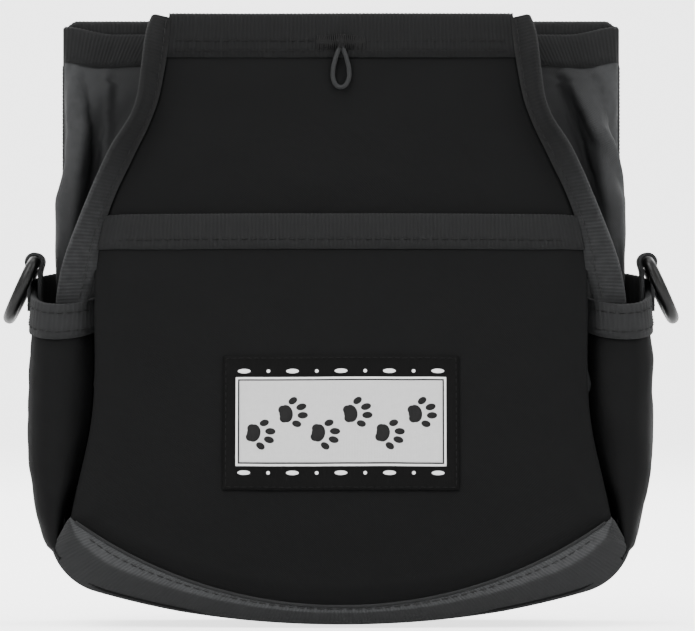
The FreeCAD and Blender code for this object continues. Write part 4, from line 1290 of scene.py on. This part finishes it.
def back_sheets():
    x, z = rear_grid(1.4, None, BACK_TOP - 1.5, 70, 70)
    lift = 0.3 + 0.25 * ripples(x, z, 50, 81)
    edge = np.minimum(BACK_HALF - np.abs(x), BACK_TOP - z)
    panel = cloth("back_panel_cloth", sheet_at(x, BACK_Y + lift * ease(8, 14, edge) * 0.2, z), NYLON)
    dress(panel, "root", "nylon", "back_panel")
    inner_y = node_box("back_lining")[0][1]
    x, z = rear_grid(1.6, None, BACK_TOP - 1.5, 60, 60)
    inside = shell("back_lining_cloth", sheet_at(x, inner_y, z), sheet_at(x, inner_y + 0.5, z), LINING)
    dress(inside, "root", "lining", "back_lining")


REAR_INSET = 9.5
LOOP_LOW, LOOP_HIGH = node_box("belt_loop")


def rear_pocket():
    """The zipped pocket on the back: a puffed panel with turned edges, and the facing above the zip."""
    low, high = node_box("back_pocket_panel")
    base, face = low[1] + CLOTH, high[1]
    x, z = rear_grid(REAR_INSET, None, high[2], 120, 90)
    side = high[0] - np.abs(x)
    line, _ = back_path(-REAR_INSET, BACK_TOP)
    _, low_edge = edge_curves(line[:, 0], line[:, 2])
    under = z - np.interp(np.abs(x), low_edge[:, 0], low_edge[:, 1])
    edge = np.minimum(side, under)
    clear = ease(LOOP_HIGH[0] + 1, LOOP_HIGH[0] + 16, np.abs(x))
    puff = 1.6 * ease(2, 30, edge) * (1 - ease(high[2] - 20, high[2] - 4, z)) * clear
    crease = (0.45 * ripples(x, z, 45, 91) + 0.15 * ripples(x, z, 15, 92)) * ease(3, 14, edge) * clear
    crease = crease * (1 - ease(high[2] - 12, high[2] - 4, z))
    y = base + (face - base) * ease(0, 2.6, edge) + puff + crease
    pocket = cloth("rear_pocket_cloth", sheet_at(x, y, z), NYLON)
    dress(pocket, "root", "nylon", "back_pocket_panel")

    low, high = node_box("back_pocket_facing")
    x, z = rear_grid(REAR_INSET, low[2], high[2], 90, 24)
    edge = np.minimum(high[0] - np.abs(x), high[2] - z)
    facing = cloth("rear_facing_cloth", sheet_at(x, base + (face - base) * ease(0, 2.6, edge), z), NYLON)
    dress(facing, "root", "nylon", "back_pocket_facing")

    out_y = face + 0.05
    rows = []
    for z_row in (node_box("back_pocket_panel")[1][2] - 1.8, low[2] + 1.8):
        rows.append(stitches("row", sheet_at(np.linspace(-high[0] + 3, high[0] - 3, 9), out_y, z_row), Y, BLACK_THREAD))
    path, _ = back_path(-REAR_INSET - 3.2, high[2] - 3.2)
    rows.append(stitches("row", path + Y * (face + 0.2), Y, BLACK_THREAD))
    top_row = sheet_at(np.linspace(-high[0] + 3.2, high[0] - 3.2, 9), out_y, high[2] - 3.2)
    rows.append(stitches("row", top_row, Y, BLACK_THREAD))
    dress(join("rear_pocket_stitches", rows), "root", "nylon")


def zip_parts():
    """Tapes and two interlocking coils."""
    low, high = node_box("zip_tapes")
    coil_low, coil_high = node_box("zip_coils")
    middle = (coil_low[2] + coil_high[2]) / 2
    x = np.linspace(high[0], low[0], 90)[None, :]
    halves = []
    for z0, z1 in ((low[2], middle - 2.3), (middle + 2.3, high[2])):
        z = np.linspace(z0, z1, 12)[:, None]
        halves.append(cloth("half", sheet_at(x, high[1] + 0 * z, z + 0 * x), ZIP_TAPE, thickness=0.5))
    dress(join("zip_tape_cloth", halves), "root", "tape", "zip_tapes")

    radius, pitch, spokes = 0.36, 1.27, 12
    reach = (coil_high[2] - coil_low[2]) / 4 - radius / 2
    turns = int((coil_high[0] - coil_low[0]) / pitch)
    angle = np.linspace(0, 2 * math.pi * turns, turns * spokes)
    coils = []
    for side in (-1, 1):
        centre = middle + side * (reach + 0.05)
        x = coil_low[0] + 0.5 + angle / (2 * math.pi) * pitch + (pitch / 2 if side > 0 else 0)
        depth = (coil_high[1] - coil_low[1]) / 2 - radius
        y = (coil_high[1] + coil_low[1]) / 2 + depth * np.cos(angle)
        z = centre + side * reach * np.sin(angle)
        keep = x < coil_high[0] - 0.5
        coils.append(tube("coil", sheet_at(x, y, z)[keep], radius, COIL_NYLON, spokes=6))
    dress(join("zip_coil_teeth", coils), "root", "zip_coil", "zip_coils")


def belt_loop():
    """Wide webbing, sewn down at both ends with boxed crosses."""
    foot = LOOP_LOW[1] + WEBBING / 2
    out = LOOP_HIGH[1] - WEBBING / 2
    low, high = LOOP_LOW[2], LOOP_HIGH[2]
    points = [(foot, low), (foot, low + 7), (out, low + 11), (out, high - 11), (foot, high - 7), (foot, high)]
    path = smooth_line(np.array([(0.0, y, z) for y, z in points]), 0.5, rounds=4)
    width = LOOP_HIGH[0] - LOOP_LOW[0]
    loop = strap("belt_loop_webbing", path, -X, width, WEBBING, WEB)
    dress(loop, "root", "webbing", "belt_loop")
    rows = []
    side = width / 2 - 2.2
    face = LOOP_LOW[1] + WEBBING
    for z0, z1 in ((low + 1.5, low + 6.0), (high - 6.0, high - 1.5)):
        for a, b in (((-side, z0), (side, z0)), ((-side, z1), (side, z1)), ((-side, z0), (-side, z1)),
                     ((side, z0), (side, z1)), ((-side, z0), (side, z1)), ((-side, z1), (side, z0))):
            line = np.array([(a[0], face, a[1]), (b[0], face, b[1])])
            rows.append(stitches("row", line, Y, BLACK_THREAD, pitch=2.6, length=2.0))
    dress(join("belt_loop_stitches", rows), "root", "webbing")


def clip_spring():
    """The clip as one bent strip of spring steel, with rounded ends."""
    base_low, base_high = node_box("belt_clip_base")
    arm_low, arm_high = node_box("belt_clip_arm")
    sheet = 0.8
    centre = np.array(JOINTS["belt_clip_flex"]["pos_m"]) / MM
    near = base_low[1] + sheet / 2
    far = arm_high[1] - sheet / 2
    bend_radius = (far - near) / 2
    points = [(near, base_low[2])]
    for turn in np.linspace(0, math.pi, 15):
        points.append((centre[1] - bend_radius * math.cos(turn), centre[2] + bend_radius * math.sin(turn)))
    tip = arm_low[2] + 0.2
    points += [(far, tip + 17.0), (far - 3.4, tip + 6.0), (far - 1.6, tip)]
    path = smooth_line(np.array([(0.0, y, z) for y, z in points]), 0.5, rounds=5)
    along = lengths(path)
    end = np.minimum(along, along[-1] - along)
    corner = 5.0
    narrow = 2 * (corner - np.sqrt(np.clip(corner ** 2 - np.clip(corner - end, 0, corner) ** 2, 0, None)))
    width = (base_high[0] - base_low[0]) - narrow
    spring = strap("belt_clip_spring", path, -X, width, sheet, SPRING_STEEL, wear_edges=0.0)
    straight = centre[2] - base_low[2]
    share = ease(straight, straight + math.pi * bend_radius, along)
    weights = np.repeat(share, len(spring.data.vertices) // (2 * len(path)))
    bend(spring, "spring_steel", weights, "belt_clip_base", "belt_clip_arm", far="belt_clip_arm")


def back_tapes():
    """The back's hem and the tape round its sides and bottom."""
    low, high = node_box("back_top_binding")
    middle = (low[1] + high[1]) / 2
    half = (high[1] - low[1]) / 2
    nose = 1.2
    x = np.linspace(low[0] - 0.5, high[0] + 0.5, 240)
    corner_drop = 2.4 * (1 - ease(0, 4.5, high[0] + 0.5 - np.abs(x)))
    edge = sheet_at(x, middle, high[2] - nose - corner_drop)
    leaf = high[2] - nose - low[2]
    tape = binding("back_top_hem", edge, -Z, -Y, leaf, leaf, half, GROSGRAIN, nose=nose, closed_ends=True)
    dress(tape, "root", "tape", "back_top_binding")
    rows = []
    for face in (-1, 1):
        for z in (low[2] + 5.0, low[2] + 1.4):
            line = sheet_at(x[1:-1], middle + face * (half + RIB_HEIGHT), z)
            rows.append(stitches("row", line, Y * face, BLACK_THREAD))
    dress(join("back_hem_stitches", rows), "root", "tape")

    low, high = node_box("back_seam_binding")
    middle = (low[1] + high[1]) / 2
    half = (high[1] - low[1]) / 2
    leaf = 9.0
    path, inward = back_path(-0.5, high[2])
    edge = path + Y * middle
    tape = binding("back_seam_tape", edge, inward, -Y, leaf, leaf, half, GROSGRAIN, nose=nose)
    dress(tape, "root", "tape", "back_seam_binding")
    line = edge + inward * (leaf - 1.6) + Y * (half + RIB_HEIGHT)
    dress(stitches("back_seam_stitches", line[2:-2], Y, BLACK_THREAD), "root", "tape")


# ---------------------------------------------------------------- CAD pieces that stay
def finish_hardware():
    for material, names in (
        (RING_METAL, ("left_ring", "right_ring", "clip_rivets")),
        (ZIP_METAL, ("zip_slider", "zip_pull", "zip_stops")),
        (BOARD, ("back_stiffener", "front_stiffener")),
        (MAGNET, ("back_magnets", "front_magnets")),
    ):
        for name in names:
            node = frame["nodes"][name]
            for k in range(max(1, len(node.material_slots))):
                if node.material_slots:
                    node.material_slots[k].material = material
                else:
                    node.data.materials.append(material)


# ---------------------------------------------------------------- studio
def plain(name, level, rough=0.9, glow=2.2):
    """Matt studio paper with a faint mottle. To the camera it glows, as a paper lit from behind does."""
    paint = Paint(name)
    tone = paint.mix(paint.noise(120.0), grey(level * 0.985), grey(level))
    seen = paint.calc("MULTIPLY", paint.node("ShaderNodeLightPath").outputs["Is Camera Ray"], glow)
    return paint.finish(Base_Color=tone, Roughness=rough, Emission_Color=(1.0, 1.0, 1.0), Emission_Strength=seen)


def studio():
    """A round pale sweep, a soft key from the upper left, and broad fills."""
    floor_reach, curve, wall_top = 3.2, 0.8, 1.5
    turn = np.linspace(0, math.pi / 2, 14)
    profile = [(0.0, 0.0), (0.6, 0.0), (floor_reach, 0.0)]
    profile += [(floor_reach + curve * math.sin(a), curve - curve * math.cos(a)) for a in turn[1:]]
    profile.append((floor_reach + curve, wall_top))
    spokes = 72
    verts, faces = [], []
    for r, z in profile:
        for k in range(spokes):
            angle = 2 * math.pi * k / spokes
            verts.append((r * math.cos(angle), r * math.sin(angle), z))
    for ring in range(len(profile) - 1):
        for k in range(spokes):
            a, b = ring * spokes + k, ring * spokes + (k + 1) % spokes
            faces.append((a, b, b + spokes, a + spokes))
    data = bpy.data.meshes.new("sweep")
    data.from_pydata(verts, [], faces)
    data.polygons.foreach_set("use_smooth", [True] * len(faces))
    data.materials.append(plain("studio_paper", 0.95))
    floor = bpy.data.objects.new("studio_floor", data)
    bpy.context.scene.collection.objects.link(floor)

    for name, place, size, power in (
        ("key", (-1.0, -1.4, 1.7), (1.2, 1.2), 40.0),
        ("fill", (1.5, -1.2, 1.3), (1.2, 1.2), 20.0),
        ("top", (0.0, 0.2, 2.6), (2.0, 1.6), 40.0),
        ("rear_left", (-1.2, 1.5, 1.6), (1.0, 1.0), 36.0),
        ("rear_right", (1.3, 1.4, 1.6), (1.0, 1.0), 30.0),
    ):
        lamp = bpy.data.lights.new(name, "AREA")
        lamp.shape = "RECTANGLE"
        lamp.size, lamp.size_y = size
        lamp.energy = power
        light = bpy.data.objects.new(name, lamp)
        light.location = place
        look_at(light, (0.0, 0.0, 0.1))
        bpy.context.scene.collection.objects.link(light)
    world = bpy.data.worlds.new("studio")
    world.use_nodes = True
    world.node_tree.nodes["Background"].inputs["Color"].default_value = (1.0, 1.0, 1.0, 1.0)
    world.node_tree.nodes["Background"].inputs["Strength"].default_value = 1.15
    bpy.context.scene.world = world


def look_at(thing, target):
    """Turns a lamp or camera towards a point."""
    direction = Vector(target) - thing.location
    thing.rotation_euler = direction.to_track_quat("-Z", "Y").to_euler()


def camera():
    """Level, straight on, from a little over two metres."""
    distance, height, centre_x = 2.2, 0.1001, 0.0021
    seen_width = 0.2245
    lens_plane = -0.02
    data = bpy.data.cameras.new("camera")
    data.sensor_width = 36.0
    data.lens = data.sensor_width * distance / seen_width
    thing = bpy.data.objects.new("camera", data)
    thing.location = (centre_x, lens_plane - distance, height)
    look_at(thing, (centre_x, 0.0, height))
    bpy.context.scene.collection.objects.link(thing)
    bpy.context.scene.camera = thing


front_cloths()
hem_tape()
pocket_tape()
seam_straps()
bottom_tape()
label_patch()
clicker_cord()
gussets()
side_pockets()
ring_tabs()
bottom_sheets()
back_sheets()
rear_pocket()
zip_parts()
belt_loop()
clip_spring()
back_tapes()
finish_hardware()
studio()
camera()

bpy.context.view_layer.update()
